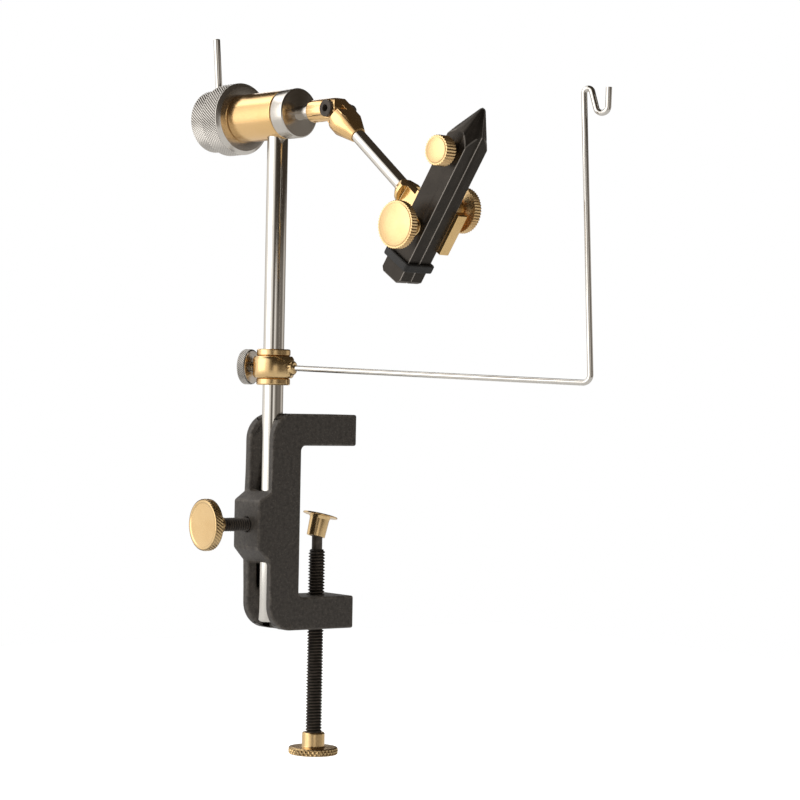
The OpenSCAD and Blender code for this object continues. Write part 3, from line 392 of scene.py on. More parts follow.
def soften(piece, width, material, steps=3, limit=35.0, plain=0.0, blunt=None):
    """Rounds a piece's sharp edges, notes where they are for wear, and gives it its finish.
    The widths are in millimetres, and a corner that strays goes back on the sharp shape."""
    width, plain, strays_past = width * MM, plain * MM, 0.5
    weigh_edges(piece.data, width, limit, plain, blunt)
    shape = BVHTree.FromPolygons([p.co for p in piece.data.vertices], [tuple(f.vertices) for f in piece.data.polygons])
    rounding = piece.modifiers.new("rounding", "BEVEL")
    rounding.width = width
    rounding.segments = steps
    rounding.limit_method = "WEIGHT"
    rounding.use_clamp_overlap = False
    rounding.harden_normals = True
    rounding.material = 1
    piece.data.materials.append(material)
    piece.data.materials.append(material)
    for face in piece.data.polygons:
        face.use_smooth = True
        face.material_index = 0
    piece.data.set_sharp_from_angle(angle=math.radians(limit))
    evaluated_mesh(piece)
    mesh = piece.data
    for point in mesh.vertices:
        near, _, _, away = shape.find_nearest(point.co)
        if away > strays_past * width:
            point.co = near
    edge = mesh.attributes.new("edge", "FLOAT", "FACE")
    for face, value in zip(mesh.polygons, edge.data):
        value.value = float(face.material_index)
        face.material_index = 0
    mesh.materials.pop(index=1)
    return piece


def set_piece(piece, body, node):
    """Rides a piece on its body, and hides the CAD node that it stands for."""
    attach(piece, body)
    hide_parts(node)


casting = soften(cad_copy("clamp_frame", "clamp_casting"), cast_edge, powder)
set_piece(casting, "clamp", "clamp_frame")

# Clamp screw: a black-oxide steel screw, threaded for most of its length, with a plain neck.
# Its ball end is held in the swivel pad, and its lower end is pressed into a brass knob.
screw_d, screw_pitch, screw_top, screw_long = 7.9, 1.411, -48.4, 89.0
thread_depth, thread_flank = 0.95, 2.1
neck_d, ball_d, ball_z, ball_steps = 4.9, 6.8, -38.9, 14
# Painted light on threads: the dark tone is painted shade in the roots, and the light tone is a painted highlight on
# the crests. On plain pieces both are random tone.
oxide_dark_and_root_shade = (0.006, 0.005, 0.004, 1.0)
oxide_light_and_crest_highlight = (0.15, 0.12, 0.095, 1.0)
COUNT, STUFF = "NodeSocketInt", "NodeSocketMaterial"


def geometry_tree(name, **sockets):
    """An empty geometry tree that takes and gives geometry, with named inputs for its sizes."""
    made = bpy.data.node_groups.new(name, "GeometryNodeTree")
    for label, kind in {"Geometry": "NodeSocketGeometry", **sockets}.items():
        made.interface.new_socket(label, in_out="INPUT", socket_type=kind)
    made.interface.new_socket("Geometry", in_out="OUTPUT", socket_type="NodeSocketGeometry")
    return made, made.nodes.new("NodeGroupInput").outputs, made.nodes.new("NodeGroupOutput")


def end_tree(tree, end, parts, material):
    """Joins the parts, makes the copies real, gives them their material and closes the tree."""
    joined = add_node(tree, "GeometryNodeJoinGeometry")
    for part in parts:
        tree.links.new(part, joined.inputs[0])
    real = add_node(tree, "GeometryNodeRealizeInstances", Geometry=joined.outputs[0])
    dressed = add_node(tree, "GeometryNodeSetMaterial", Geometry=real.outputs[0], Material=material)
    tree.links.new(dressed.outputs[0], end.inputs[0])


def on_bar(tree):
    """Where a bar's points lie, and how far round it, in turns from -0.5 to 0.5."""
    at = add_node(tree, "GeometryNodeInputPosition")
    xyz = add_node(tree, "ShaderNodeSeparateXYZ", Vector=at.outputs[0]).outputs
    return xyz, sums(tree, "DIVIDE", sums(tree, "ARCTAN2", xyz["Y"], xyz["X"]), 2.0 * math.pi)


def ridges(tree, phase, flank):
    """How high a point stands on ridges that lie one turn of the phase apart, from 0 to 1."""
    wave = sums(tree, "MULTIPLY", sums(tree, "PINGPONG", phase, 0.5), flank)
    return sums(tree, "MINIMUM", wave, 1.0)


def cut_bar(tree, sizes, end, bar, xyz, radius, high, runout):
    """Sinks a bar's points to the depth where they aren't high, notes the grooves, and closes the tree.
    The grooves come out at both ends over the runout."""
    step = partial(sums, tree)
    end_gap = step("SUBTRACT", step("DIVIDE", sizes["Length"], 2.0), step("ABSOLUTE", xyz["Z"]))
    high = step("MINIMUM", high, step("MINIMUM", step("DIVIDE", end_gap, runout), 1.0))
    groove = step("SUBTRACT", 1.0, high)
    share = step("SUBTRACT", 1.0, step("DIVIDE", step("MULTIPLY", groove, sizes["Depth"]), radius))
    sunk = add_node(tree, "ShaderNodeCombineXYZ", X=step("MULTIPLY", xyz["X"], share),
                    Y=step("MULTIPLY", xyz["Y"], share), Z=step("ADD", xyz["Z"], sizes["Middle"]))
    marked = add_node(tree, "GeometryNodeStoreNamedAttribute", {"data_type": "FLOAT", "domain": "POINT"},
                      Geometry=bar.outputs["Mesh"], Name="groove", Value=groove)
    cut = add_node(tree, "GeometryNodeSetPosition", Geometry=marked.outputs[0], Position=sunk.outputs[0])
    end_tree(tree, end, (sizes["Geometry"], cut.outputs[0]), sizes["Material"])


threads, t_in, t_end = geometry_tree("screw_thread", Diameter=AMOUNT, Length=AMOUNT, Middle=AMOUNT, Pitch=AMOUNT,
                                     Depth=AMOUNT, Sides=COUNT, Rows=COUNT, Material=STUFF)
t_radius = sums(threads, "DIVIDE", t_in["Diameter"], 2.0)
t_bar = add_node(threads, "GeometryNodeMeshCylinder", Vertices=t_in["Sides"], Side_Segments=t_in["Rows"],
                 Radius=t_radius, Depth=t_in["Length"])
t_xyz, t_round = on_bar(threads)
t_phase = sums(threads, "SUBTRACT", sums(threads, "DIVIDE", t_xyz["Z"], t_in["Pitch"]), t_round)
cut_bar(threads, t_in, t_end, t_bar, t_xyz, t_radius, ridges(threads, t_phase, thread_flank), t_in["Pitch"])


def grow(piece, tree, values):
    """Runs a geometry tree on a piece with the given inputs, and keeps the plain mesh."""
    step = piece.modifiers.new(tree.name, "NODES")
    step.node_group = tree
    for socket in tree.interface.items_tree:
        if socket.in_out == "INPUT" and socket.name in values:
            step[socket.identifier] = values[socket.name]
    evaluated_mesh(piece)


def thread(piece, diameter, length, middle, pitch, depth, sides, rows, material):
    """Adds a threaded bar round z to a piece, its sizes in millimetres."""
    grow(piece, threads, {
        "Diameter": diameter * MM, "Length": length * MM, "Middle": middle * MM, "Pitch": pitch * MM,
        "Depth": depth * MM, "Sides": sides, "Rows": rows, "Material": material})


def turn(name, profile, sides=96):
    """A piece turned about z from a profile of radii and heights in millimetres, closed at the axis.
    U runs round it and V along its profile."""
    mesh = bpy.data.meshes.new(name)
    points, faces, rings, corners = [], [], [], []
    walk = [0.0]
    for a, b in zip(profile, profile[1:]):
        walk.append(walk[-1] + math.dist(a, b))
    for r, z in profile:
        first = len(points)
        if r < 1e-6:
            points.append((0.0, 0.0, z * MM))
            rings.append([first] * (sides + 1))
            continue
        for i in range(sides):
            angle = 2.0 * math.pi * i / sides
            points.append((r * MM * math.cos(angle), r * MM * math.sin(angle), z * MM))
        rings.append([first + i for i in range(sides)] + [first])
    for j in range(len(profile) - 1):
        low, high = rings[j], rings[j + 1]
        v = (walk[j] / walk[-1], walk[j + 1] / walk[-1])
        for i in range(sides):
            kept = {}
            for point, at, up in ((low[i], i, v[0]), (low[i + 1], i + 1, v[0]),
                                  (high[i + 1], i + 1, v[1]), (high[i], i, v[1])):
                kept.setdefault(point, (at / sides, up))
            if len(kept) > 2:
                faces.append(list(kept))
                corners.extend(kept.values())
    mesh.from_pydata(points, [], faces)
    layer = mesh.uv_layers.new(name="UVMap")
    for loop, uv in zip(layer.data, corners):
        loop.uv = uv
    work = bmesh.new()
    work.from_mesh(mesh)
    bmesh.ops.recalc_face_normals(work, faces=work.faces)
    work.to_mesh(mesh)
    work.free()
    return new_object(name, mesh)


def seat(piece, place, material, sharp=32.0):
    """Puts a finished mesh where it belongs, shades it and gives it its material."""
    piece.data.transform(place)
    piece.data.materials.clear()
    piece.data.materials.append(material)
    piece.data.shade_smooth()
    piece.data.set_sharp_from_angle(angle=math.radians(sharp))


def along(origin, axis, side=None):
    """The place whose z runs along an axis from an origin, and whose x lies near a side."""
    z = Vector(axis).normalized()
    x = Vector(side) if side is not None else (Vector((1.0, 0.0, 0.0)) if abs(z.x) < 0.9 else world_up)
    x = (x - z * x.dot(z)).normalized()
    return place_of(x, z.cross(x), z, origin)


def vary_gloss(tree, shader, share, low, high):
    """Roughness that goes from one value to another as a share rises."""
    tree.links.new(spread(tree, share, to_low=low, to_high=high), shader.inputs["Roughness"])


black_oxide, tree, shader = finish_of("black_oxide_steel", (0.05, 0.04, 0.034, 1.0), 0.42, 0.05)
shader.inputs["Specular IOR Level"].default_value = 0.22
oil = noise(tree, object_space(tree), scale=420.0, detail=4.0)
vary_gloss(tree, shader, oil, 0.34, 0.54)
# Painted shade in the thread roots and painted highlight on the crests, broken up by the oil noise
crest = sums(tree, "SUBTRACT", 1.0, noted(tree, "groove"))
vary_color(tree, shader, sums(tree, "MULTIPLY", crest, oil), oxide_dark_and_root_shade, oxide_light_and_crest_highlight)
bump_on(tree, shader, oil, 0.03 * MM)

ball_low = ball_z - math.sqrt((ball_d / 2) ** 2 - (neck_d / 2) ** 2)
ball_from = math.asin(neck_d / ball_d)
screw_profile = [(0.0, screw_top - 1.0), (neck_d / 2, screw_top - 1.0), (neck_d / 2, ball_low)]
for i in range(1, ball_steps + 1):
    angle = ball_from + (math.pi - ball_from) * i / ball_steps
    screw_profile.append((max(0.0, ball_d / 2 * math.sin(angle)), ball_z - ball_d / 2 * math.cos(angle)))
clamp_screw = turn("clamp_screw_bar", screw_profile, sides=40)
thread(clamp_screw, screw_d, screw_long, screw_top - screw_long / 2, screw_pitch, thread_depth,
       sides=32, rows=640, material=black_oxide)
seat(clamp_screw, Matrix.Identity(4), black_oxide, sharp=50.0)
set_piece(clamp_screw, "clamp_screw", "clamp_screw")

# Clamp knob: a brass disc and hub turned in one piece, with a diamond knurl that fingers can grip.
# It is pressed on the lower end of the clamp screw.
clamp_knob_low, clamp_knob_d, clamp_knob_h = -143.6, 23.1, 10.2
clamp_disc_h, clamp_hub_r, clamp_hub_cut = 3.4, 5.3, 0.5
diamond_gap, diamond_depth = 1.6, 0.5
ridge_flank, ridge_sides, ridge_rows = 2.6, 8.0, 8
knurl_lean = math.radians(38.0)
brass_light, brass_deep = (0.80, 0.57, 0.29, 1.0), (0.68, 0.43, 0.18, 1.0)

knurls, k_in, k_end = geometry_tree("rolled_knurl", Radius=AMOUNT, Middle=AMOUNT, Length=AMOUNT, Depth=AMOUNT,
                                    Lead=AMOUNT, Cross=AMOUNT, Starts=COUNT, Rows=COUNT, Material=STUFF)
k_step = partial(sums, knurls)
k_band = add_node(knurls, "GeometryNodeMeshCylinder", {"fill_type": "NONE"}, Side_Segments=k_in["Rows"],
                  Vertices=k_step("MULTIPLY", k_in["Starts"], ridge_sides), Radius=k_in["Radius"], Depth=k_in["Length"])
k_xyz, k_round = on_bar(knurls)
k_round = k_step("MULTIPLY", k_round, k_in["Starts"])
k_rise = k_step("DIVIDE", k_xyz["Z"], k_in["Lead"])
k_ridge, k_notch = (ridges(knurls, k_step(way, k_rise, k_round), ridge_flank) for way in ("SUBTRACT", "ADD"))
k_low = k_step("SUBTRACT", 1.0, k_step("MULTIPLY", k_in["Cross"], k_step("SUBTRACT", 1.0, k_notch)))
cut_bar(knurls, k_in, k_end, k_band, k_xyz, k_in["Radius"], k_step("MINIMUM", k_ridge, k_low), k_in["Depth"])


def knurl(piece, diameter, low, high, spacing, depth, material, cross=0.35):
    """Rolls a knurl round the rim of a turned piece between two heights in millimetres.
    Its ridges lean like a right-hand thread, and notches the other way cross them."""
    lead = spacing / math.sin(knurl_lean)
    grow(piece, knurls, {"Radius": diameter / 2 * MM, "Middle": (low + high) / 2 * MM, "Length": (high - low) * MM,
                         "Depth": depth * MM, "Lead": lead * MM, "Cross": cross,
                         "Starts": round(math.pi * diameter * math.cos(knurl_lean) / spacing),
                         "Rows": round((high - low) / lead * ridge_rows), "Material": material})


def rounded(points, radius, steps=3):
    """A profile whose corners, but for its two ends, are rounded."""
    most_of_side = 0.45
    out = [points[0]]
    for before, here, after in zip(points, points[1:], points[2:]):
        a, b, c = (Vector(p) for p in (before, here, after))
        cut = min(radius, most_of_side * (a - b).length, most_of_side * (c - b).length)
        first, last = b + (a - b).normalized() * cut, b + (c - b).normalized() * cut
        for i in range(steps + 1):
            t = i / steps
            out.append(tuple(first * (1 - t) ** 2 + b * 2 * t * (1 - t) + last * t ** 2))
    out.append(points[-1])
    return out


def rim_band(radius, low, high, inset, chamfer):
    """A rim's profile between two heights, with a chamfer at both."""
    return [(radius - inset, low), (radius, low + chamfer), (radius, high - chamfer), (radius - inset, high)]


def turned_lines(piece, place):
    """Notes how far along its turning each point lies, which the fine tool marks follow."""
    back = place.inverted()
    lines = piece.data.attributes.new("ring", "FLOAT", "POINT")
    for point, value in zip(piece.data.vertices, lines.data):
        at = back @ point.co
        value.value = (at.z + math.hypot(at.x, at.y)) / MM


# Fine rings that the turning tool leaves, and the uneven tone of handled metal
tool_marks, m_in, m_out = group_with("tool_marks", (("Ring", AMOUNT, 0.0), ("Fine", AMOUNT, 7.0)), ("Line",))
m_lines = add_node(tool_marks, "ShaderNodeTexNoise", {"noise_dimensions": "1D"}, W=m_in["Ring"], Scale=m_in["Fine"],
                   Detail=3.0, Roughness=0.7)
tool_marks.links.new(m_lines.outputs[0], m_out.inputs["Line"])
handled, h_in, h_out = group_with(
    "handled_tone", (("Vector", PLACE, None), ("Patch", AMOUNT, 90.0), ("Amount", AMOUNT, 0.5)), ("Mask",))
h_cloud = noise(handled, h_in["Vector"], scale=h_in["Patch"], detail=5.0, Roughness=0.55)
handled.links.new(sums(handled, "MULTIPLY", spread(handled, h_cloud, 0.35, 0.75), h_in["Amount"]), h_out.inputs["Mask"])


def turned_metal(name, light, deep, smooth_end, dull_end, fine=7.0, depth=0.01, tone=0.5, shade_and_soil=0.96):
    """A bare metal with fine turning rings, whose gloss and tone vary a little over it.
    Its grooves are darkened, partly as soil and partly as painted shade, and the depth of its rings is in millimetres."""
    made, tree, shader = finish_of(name, light, smooth_end, 1.0)
    line = group_in(tree, tool_marks, Ring=noted(tree, "ring"), Fine=fine)["Line"]
    cloud = group_in(tree, handled, Vector=object_space(tree), Patch=95.0, Amount=tone)["Mask"]
    # Painted shade: groove bottoms go nearly black, partly as soil and partly as the shade that falls in them
    vary_color(tree, shader, sums(tree, "MULTIPLY", noted(tree, "groove"), shade_and_soil), mix_color(tree, cloud, light, deep),
               (deep[0] * 0.07, deep[1] * 0.07, deep[2] * 0.07, 1.0))
    vary_gloss(tree, shader, sums(tree, "ADD", sums(tree, "MULTIPLY", line, 0.7), sums(tree, "MULTIPLY", cloud, 0.5)),
               smooth_end, dull_end)
    bump_on(tree, shader, line, depth * MM)
    return made


def fit_turned(piece, place, material, body, node):
    """Seats a turned piece, notes its turning lines and puts it on its body."""
    seat(piece, place, material)
    turned_lines(piece, place)
    set_piece(piece, body, node)


brass = turned_metal("turned_brass", brass_light, brass_deep, 0.16, 0.30, shade_and_soil=0.6)
clamp_knob = turn("clamp_knob_turning", rounded(
    [(0.0, 0.0)] + rim_band(clamp_knob_d / 2 - diamond_depth, 0.0, clamp_disc_h, 0.35, 0.35)
    + [(clamp_hub_r + 0.4, clamp_disc_h), (clamp_hub_r, clamp_disc_h + 0.4),
       (clamp_hub_r, clamp_knob_h - clamp_hub_cut), (clamp_hub_r - clamp_hub_cut, clamp_knob_h),
       (0.0, clamp_knob_h)], 0.15))
knurl(clamp_knob, clamp_knob_d, 0.1, clamp_disc_h - 0.1, diamond_gap, diamond_depth, brass, 1.0)
fit_turned(clamp_knob, along((0.0, 0.0, clamp_knob_low * MM), world_up), brass, "clamp_screw",
           "clamp_screw_knob")

# Swivel pad: a thin-flanged brass cup that tilts on the screw's ball and bears on the table's underside.
# A hardened steel disc inside it takes the ball's thrust, and the cup's lip is rolled in round the ball.
pad_tilt = math.radians(-14.0)
pad_low, pad_top, pad_bore_top = -3.5, 6.9, 4.5
pad_bore_r, pad_cup_r, pad_flange_r, pad_flange_w = 3.45, 4.3, 8.1, 0.7
pad = turn("swivel_pad_turning", rounded(
    [(0.0, pad_bore_top), (pad_bore_r, pad_bore_top), (pad_bore_r, pad_low), (pad_cup_r, pad_low),
     (pad_cup_r + 0.3, pad_top - 2.1), (pad_cup_r + 0.9, pad_top - pad_flange_w),
     (pad_flange_r, pad_top - pad_flange_w), (pad_flange_r, pad_top), (0.0, pad_top)], 0.16))
pad_place = Matrix.Translation((0.0, 0.0, ball_z * MM)) @ Matrix.Rotation(pad_tilt, 4, "X")
fit_turned(pad, pad_place, brass, "pad", "swivel_pad")


def dress(material, *nodes):
    """Gives CAD nodes whose shape is right their finish."""
    for node in nodes:
        part = frame["nodes"][node]
        if not part.material_slots:
            part.data.materials.append(material)
        for place in part.material_slots:
            place.material = material


steel = turned_metal("turned_steel", (0.62, 0.60, 0.56, 1.0), (0.50, 0.47, 0.43, 1.0), 0.14, 0.26, tone=0.35)
dress(steel, "pad_thrust_disc")

# Stem screw: an oiled steel screw through the clamp's boss, with a brass knob at its outer end.
# A loose brass tip lies between it and the stem, so the stem isn't marked.
boss_z = -36.2
stem_screw_d, stem_screw_from, stem_screw_to = 6.35, -34.475, -56.9
stem_pitch, stem_thread_depth = 1.27, 0.7
stem_knob_y, stem_knob_d, stem_hub_r = -53.4, 23.6, 4.0
stem_disc_low, stem_disc_top, stem_dish_r, stem_dish = 6.4, 10.4, 10.3, 0.25
stem_knurl_gap, stem_knurl_depth = 1.25, 0.4


def blank(name, radius, low, high):
    """The core of a screw, which its threaded bar hides."""
    return turn(name, [(0.0, low), (radius, low), (radius, high), (0.0, high)], 24)


dress(brass, "stem_screw_tip")
stem_screw = blank("stem_screw_bar", 2.0, 0.4, 1.0)
screw_run = stem_screw_from - stem_screw_to
thread(stem_screw, stem_screw_d, screw_run, screw_run / 2, stem_pitch, stem_thread_depth,
       sides=32, rows=110, material=black_oxide)
seat(stem_screw, along((0.0, stem_screw_from * MM, boss_z * MM), (0, -1, 0)), black_oxide, sharp=50.0)
set_piece(stem_screw, "stem_screw", "stem_screw")

stem_knob = turn("stem_knob_turning", rounded(
    [(0.0, 0.0), (stem_hub_r - 0.5, 0.0), (stem_hub_r, 0.5), (stem_hub_r + 1.3, stem_disc_low)]
    + rim_band(stem_knob_d / 2 - stem_knurl_depth, stem_disc_low, stem_disc_top, 0.3, 0.35)
    + [(stem_dish_r, stem_disc_top), (stem_dish_r - 0.5, stem_disc_top - stem_dish),
       (0.0, stem_disc_top - stem_dish)], 0.15))
knurl(stem_knob, stem_knob_d, stem_disc_low + 0.05, stem_disc_top - 0.15, stem_knurl_gap, stem_knurl_depth, brass)
fit_turned(stem_knob, along((0.0, stem_knob_y * MM, boss_z * MM), (0, -1, 0)), brass, "stem_screw",
           "stem_screw_knob")

# Stem: a ground and polished stainless bar that stands in the clamp and carries the collar and the head.
# Its lower end is chamfered, and its upper end is let into the head's barrel.
stem_r, stem_low, stem_high = 4.7625, -81.0, 144.16
low_chamfer, high_chamfer = 0.8, 0.5
polished = turned_metal("polished_stainless", (0.72, 0.69, 0.64, 1.0), (0.62, 0.585, 0.53, 1.0), 0.06, 0.14,
                        fine=4.0, depth=0.004, tone=0.3)
stem = turn("stem_bar", rounded(
    [(0.0, stem_low), (stem_r - low_chamfer, stem_low), (stem_r, stem_low + low_chamfer),
     (stem_r, stem_high - high_chamfer), (stem_r - high_chamfer, stem_high), (0.0, stem_high)], 0.15), 128)
fit_turned(stem, along(stem_axis, world_up), polished, "stem", "stem")

# Collar: a slit brass bush with a pressed-on cap, and between them the ring that holds the cradle.
# The knurled steel screw on the far side pinches the bush on the stem through a small brass tip.
collar_z = 35.8
cradle_turn = math.radians(27.0)
collar_screw_d, collar_screw_from, collar_screw_long = 4.76, 8.2, 5.0
collar_pitch, collar_thread_depth = 0.8, 0.4
collar_knob_r, collar_knob_d, collar_knob_w = 10.9, 16.3, 4.2
collar_knurl_gap, collar_knurl_depth = 0.8, 0.36
collar_origin = Vector((0.0, stem_axis.y, collar_z * MM))
cradle_out = Vector((math.cos(cradle_turn), math.sin(cradle_turn), 0.0))
collar_place = along(collar_origin, world_up, cradle_out)


def finish_cad(piece, width, material, body, slot, node, place=None, **rounding):
    """Rounds a copy of a CAD node, gives it its finish and its turning lines, and puts it on its body."""
    soften(piece, width, material, **rounding)
    if place is not None:
        turned_lines(piece, place)
    set_piece(piece, body, node)


for node, body in (("collar_bush", "collar"), ("collar_cap", "collar"), ("collar_ring", "cradle")):
    finish_cad(cad_copy(node, node + "_turning"), 0.16, brass, body, "brass", node, collar_place, steps=2)
dress(brass, "collar_screw_tip")

collar_screw = blank("collar_screw_bar", 1.5, 8.4, 9.0)
thread(collar_screw, collar_screw_d, collar_screw_long, collar_screw_from + collar_screw_long / 2, collar_pitch,
       collar_thread_depth, sides=28, rows=48, material=steel)
seat(collar_screw, along(collar_origin, -cradle_out), steel, sharp=50.0)
set_piece(collar_screw, "collar_screw", "collar_screw")

knurled_steel = turned_metal("knurled_steel", (0.74, 0.70, 0.645, 1.0), (0.61, 0.57, 0.52, 1.0), 0.18, 0.32)
collar_knob = turn("collar_knob_turning", rounded(
    [(0.0, 0.0)] + rim_band(collar_knob_d / 2 - collar_knurl_depth, 0.0, collar_knob_w, 0.3, 0.3)
    + [(0.0, collar_knob_w)], 0.15), 72)
knurl(collar_knob, collar_knob_d, 0.15, collar_knob_w - 0.15, collar_knurl_gap, collar_knurl_depth, knurled_steel)
fit_turned(collar_knob, along(collar_origin - cradle_out * collar_knob_r * MM, -cradle_out), knurled_steel,
           "collar_screw", "collar_screw_knob")

# Thread cradle: one length of bright steel wire, pressed into the collar ring's boss.
# It is bent up at its corner and hooked over at its top, where the tying thread rests.
wire_d, wire_from, wire_mid = 2.6, 8.8, 60.0
cradle_reach, cradle_mast = 155.0, 124.83
cradle_droop, cradle_lean = math.radians(1.9), math.radians(2.5)
bend_r, crest_r, hook_r = 3.4, 1.85, 2.75
hook_lean, hook_out = math.radians(15.8), math.radians(1.0)
hook_drop, hook_rise = 7.66, 8.25
bend_steps, hook_steps = 14, 18

wire_tree, w_in, w_end = geometry_tree("bent_wire", Diameter=AMOUNT, Sides=COUNT, Material=STUFF)
w_path = add_node(wire_tree, "GeometryNodeMeshToCurve", Mesh=w_in["Geometry"])
w_round = add_node(wire_tree, "GeometryNodeCurvePrimitiveCircle", Resolution=w_in["Sides"],
                   Radius=sums(wire_tree, "DIVIDE", w_in["Diameter"], 2.0))
w_tube = add_node(wire_tree, "GeometryNodeCurveToMesh", Curve=w_path.outputs[0], Profile_Curve=w_round.outputs[0],
                  Fill_Caps=True)
end_tree(wire_tree, w_end, (w_tube.outputs[0],), w_in["Material"])


def arc(centre, radius, start, sweep, steps):
    """Points on a bend in the cradle's plane."""
    turns = [start + sweep * i / steps for i in range(steps + 1)]
    return [(centre[0] + radius * math.cos(t), centre[1] + radius * math.sin(t)) for t in turns]


def facing(angle):
    """The way that lies at an angle from the cradle's reach, in its plane."""
    return Vector((math.cos(angle), math.sin(angle)))


wire_turn = math.pi / 2 + cradle_lean + cradle_droop
reach_way = facing(-cradle_droop)
corner = reach_way * cradle_reach
bend_start = corner - reach_way * bend_r * math.tan(wire_turn / 2)
mast_top = corner + Vector((-math.sin(cradle_lean), math.cos(cradle_lean))) * cradle_mast
crest = mast_top + crest_r * facing(cradle_lean)
leg_foot = crest + crest_r * facing(hook_lean) + hook_drop * Vector((math.sin(hook_lean), -math.cos(hook_lean)))
cup = leg_foot + hook_r * facing(hook_lean)
wire_end = cup + hook_r * facing(-hook_out) + hook_rise * Vector((math.sin(hook_out), math.cos(hook_out)))
bend_mid = bend_start + bend_r * Vector((math.sin(cradle_droop), math.cos(cradle_droop)))
route = [tuple(reach_way * wire_from), tuple(reach_way * wire_mid)]
route += arc(bend_mid, bend_r, -math.pi / 2 - cradle_droop, wire_turn, bend_steps)
route += arc(crest, crest_r, math.pi + cradle_lean, -(math.pi + cradle_lean - hook_lean), hook_steps)
route += arc(cup, hook_r, math.pi + hook_lean, math.pi - hook_lean - hook_out, hook_steps)
route.append(tuple(wire_end))
wire_mesh = bpy.data.meshes.new("cradle_wire_bent")
wire_mesh.from_pydata([collar_place @ Vector((x * MM, 0.0, z * MM)) for x, z in route],
                      [(i, i + 1) for i in range(len(route) - 1)], [])
wire = new_object("cradle_wire_bent", wire_mesh)
drawn = turned_metal("drawn_wire", (0.72, 0.69, 0.64, 1.0), (0.58, 0.55, 0.50, 1.0), 0.07, 0.16, tone=0.4)
grow(wire, wire_tree, {"Diameter": wire_d * MM, "Sides": 20, "Material": drawn})
seat(wire, Matrix.Identity(4), drawn, sharp=50.0)
set_piece(wire, "cradle", "cradle_wire")

# Rotary head: a satin brass barrel, bored for two bushings, that the spindle turns in.
# It is cross-drilled on its underside and fixed on the stem's top.
head_z, barrel_from = 151.5, -23.2


def joint(name):
    """The point and the direction of a joint's axis at rest."""
    found = next(j for j in frame["record"]["behaviour"]["joints"] if j["name"] == name)
    return Vector(found["pos_m"]), Vector(found["axis"]).normalized()


pivot, across = joint("arm_tilt")
spindle_way = joint("spindle_spin")[1]
head_place = along((stem_axis.x, stem_axis.y, head_z * MM), spindle_way, across)


def on_spindle(u):
    """The place on the spindle's axis at a distance in millimetres from the stem."""
    return head_place @ Matrix.Translation((0.0, 0.0, u * MM))


satin_brass = turned_metal("satin_brass", (0.87, 0.57, 0.265, 1.0), (0.79, 0.50, 0.20, 1.0), 0.13, 0.26, fine=11.0,
                           depth=0.008)
finish_cad(cad_copy("barrel", "barrel_turning"), 0.3, satin_brass, "head", "brass", "barrel", head_place)
bearing_bronze = turned_metal("bearing_bronze", (0.42, 0.27, 0.13, 1.0), (0.30, 0.18, 0.08, 1.0), 0.30, 0.45)
dress(bearing_bronze, "front_bushing", "rear_bushing")

# Spindle: turned from stainless bar, with a wide flange against the barrel's front end.
# A thin dark washer lies between the two, and the stub beyond the flange holds the arm's coupling.
spindle_low, spindle_end = -43.2, 29.65
flange_from, flange_to, flange_r = 6.6, 14.6, 11.3
stub_r, journal_r, thread_r = 3.175, 4.7625, 4.3
turned_face = turned_metal("turned_stainless", (0.62, 0.58, 0.525, 1.0), (0.52, 0.48, 0.43, 1.0), 0.14, 0.24, fine=6.0)
shader = turned_face.node_tree.nodes["Principled BSDF"]
shader.inputs["Anisotropic"].default_value = 0.7
turning = add_node(turned_face.node_tree, "ShaderNodeTangent", {"direction_type": "UV_MAP", "uv_map": "UVMap"})
turned_face.node_tree.links.new(turning.outputs[0], shader.inputs["Tangent"])
spindle = turn("spindle_turning", rounded(
    [(0.0, spindle_low), (thread_r - 0.5, spindle_low), (thread_r, spindle_low + 0.5), (thread_r, barrel_from),
     (journal_r, barrel_from), (journal_r, flange_from), (flange_r - 0.4, flange_from), (flange_r, flange_from + 0.4),
     (flange_r, flange_to - 0.5), (flange_r - 0.5, flange_to), (stub_r, flange_to), (stub_r, spindle_end),
     (0.0, spindle_end)], 0.18), 128)
fit_turned(spindle, head_place, turned_face, "spindle", "spindle")


def clouded(name, light, deep, roughness, patch, amount, metallic=0.0):
    """A finish that drifts between two tones, as handled things do."""
    made, tree, shader = finish_of(name, light, roughness, metallic)
    cloud = group_in(tree, handled, Vector=object_space(tree), Patch=patch, Amount=amount)
    vary_color(tree, shader, cloud["Mask"], light, deep)
    return made


washer_black = clouded("washer_black", (0.028, 0.024, 0.021, 1.0), (0.06, 0.05, 0.042, 1.0), 0.5, 300.0, 0.8)
finish_cad(cad_copy("flange_washer", "flange_washer_disc"), 0.08, washer_black, "head", "black_steel",
           "flange_washer", steps=2)

# Drag ring: a knurled stainless nut on the spindle's rear thread, with a pocket for the drag spring.
# Its front edge has a broad smooth chamfer. The coned spring washer in the pocket is blued steel.
drag_from, drag_w, drag_d, drag_chamfer = -35.25, 12.0, 33.4, 1.7
ring_bore_r, pocket_r, pocket_deep = 4.4, 9.0, 2.4
knurl_gap, ring_depth = 1.05, 0.5
rim = drag_d / 2
core = rim - ring_depth
band_end = drag_w - drag_chamfer
drag_ring = turn("drag_ring_turning", rounded(
    [(ring_bore_r, 0.0), (core - 0.3, 0.0), (core, 0.4), (core, band_end - 0.5), (rim, band_end - 0.35),
     (rim, band_end), (rim - drag_chamfer, drag_w), (pocket_r, drag_w), (pocket_r - 0.1, drag_w - pocket_deep),
     (ring_bore_r, drag_w - pocket_deep), (ring_bore_r, 0.0)], 0.12), 128)
knurl(drag_ring, drag_d, 0.1, band_end - 0.4, knurl_gap, ring_depth, knurled_steel)
fit_turned(drag_ring, on_spindle(drag_from), knurled_steel, "drag_ring", "drag_ring")
blued = clouded("blued_spring_steel", (0.10, 0.10, 0.11, 1.0), (0.05, 0.045, 0.045, 1.0), 0.35, 200.0, 0.7, 1.0)
dress(blued, "drag_spring")

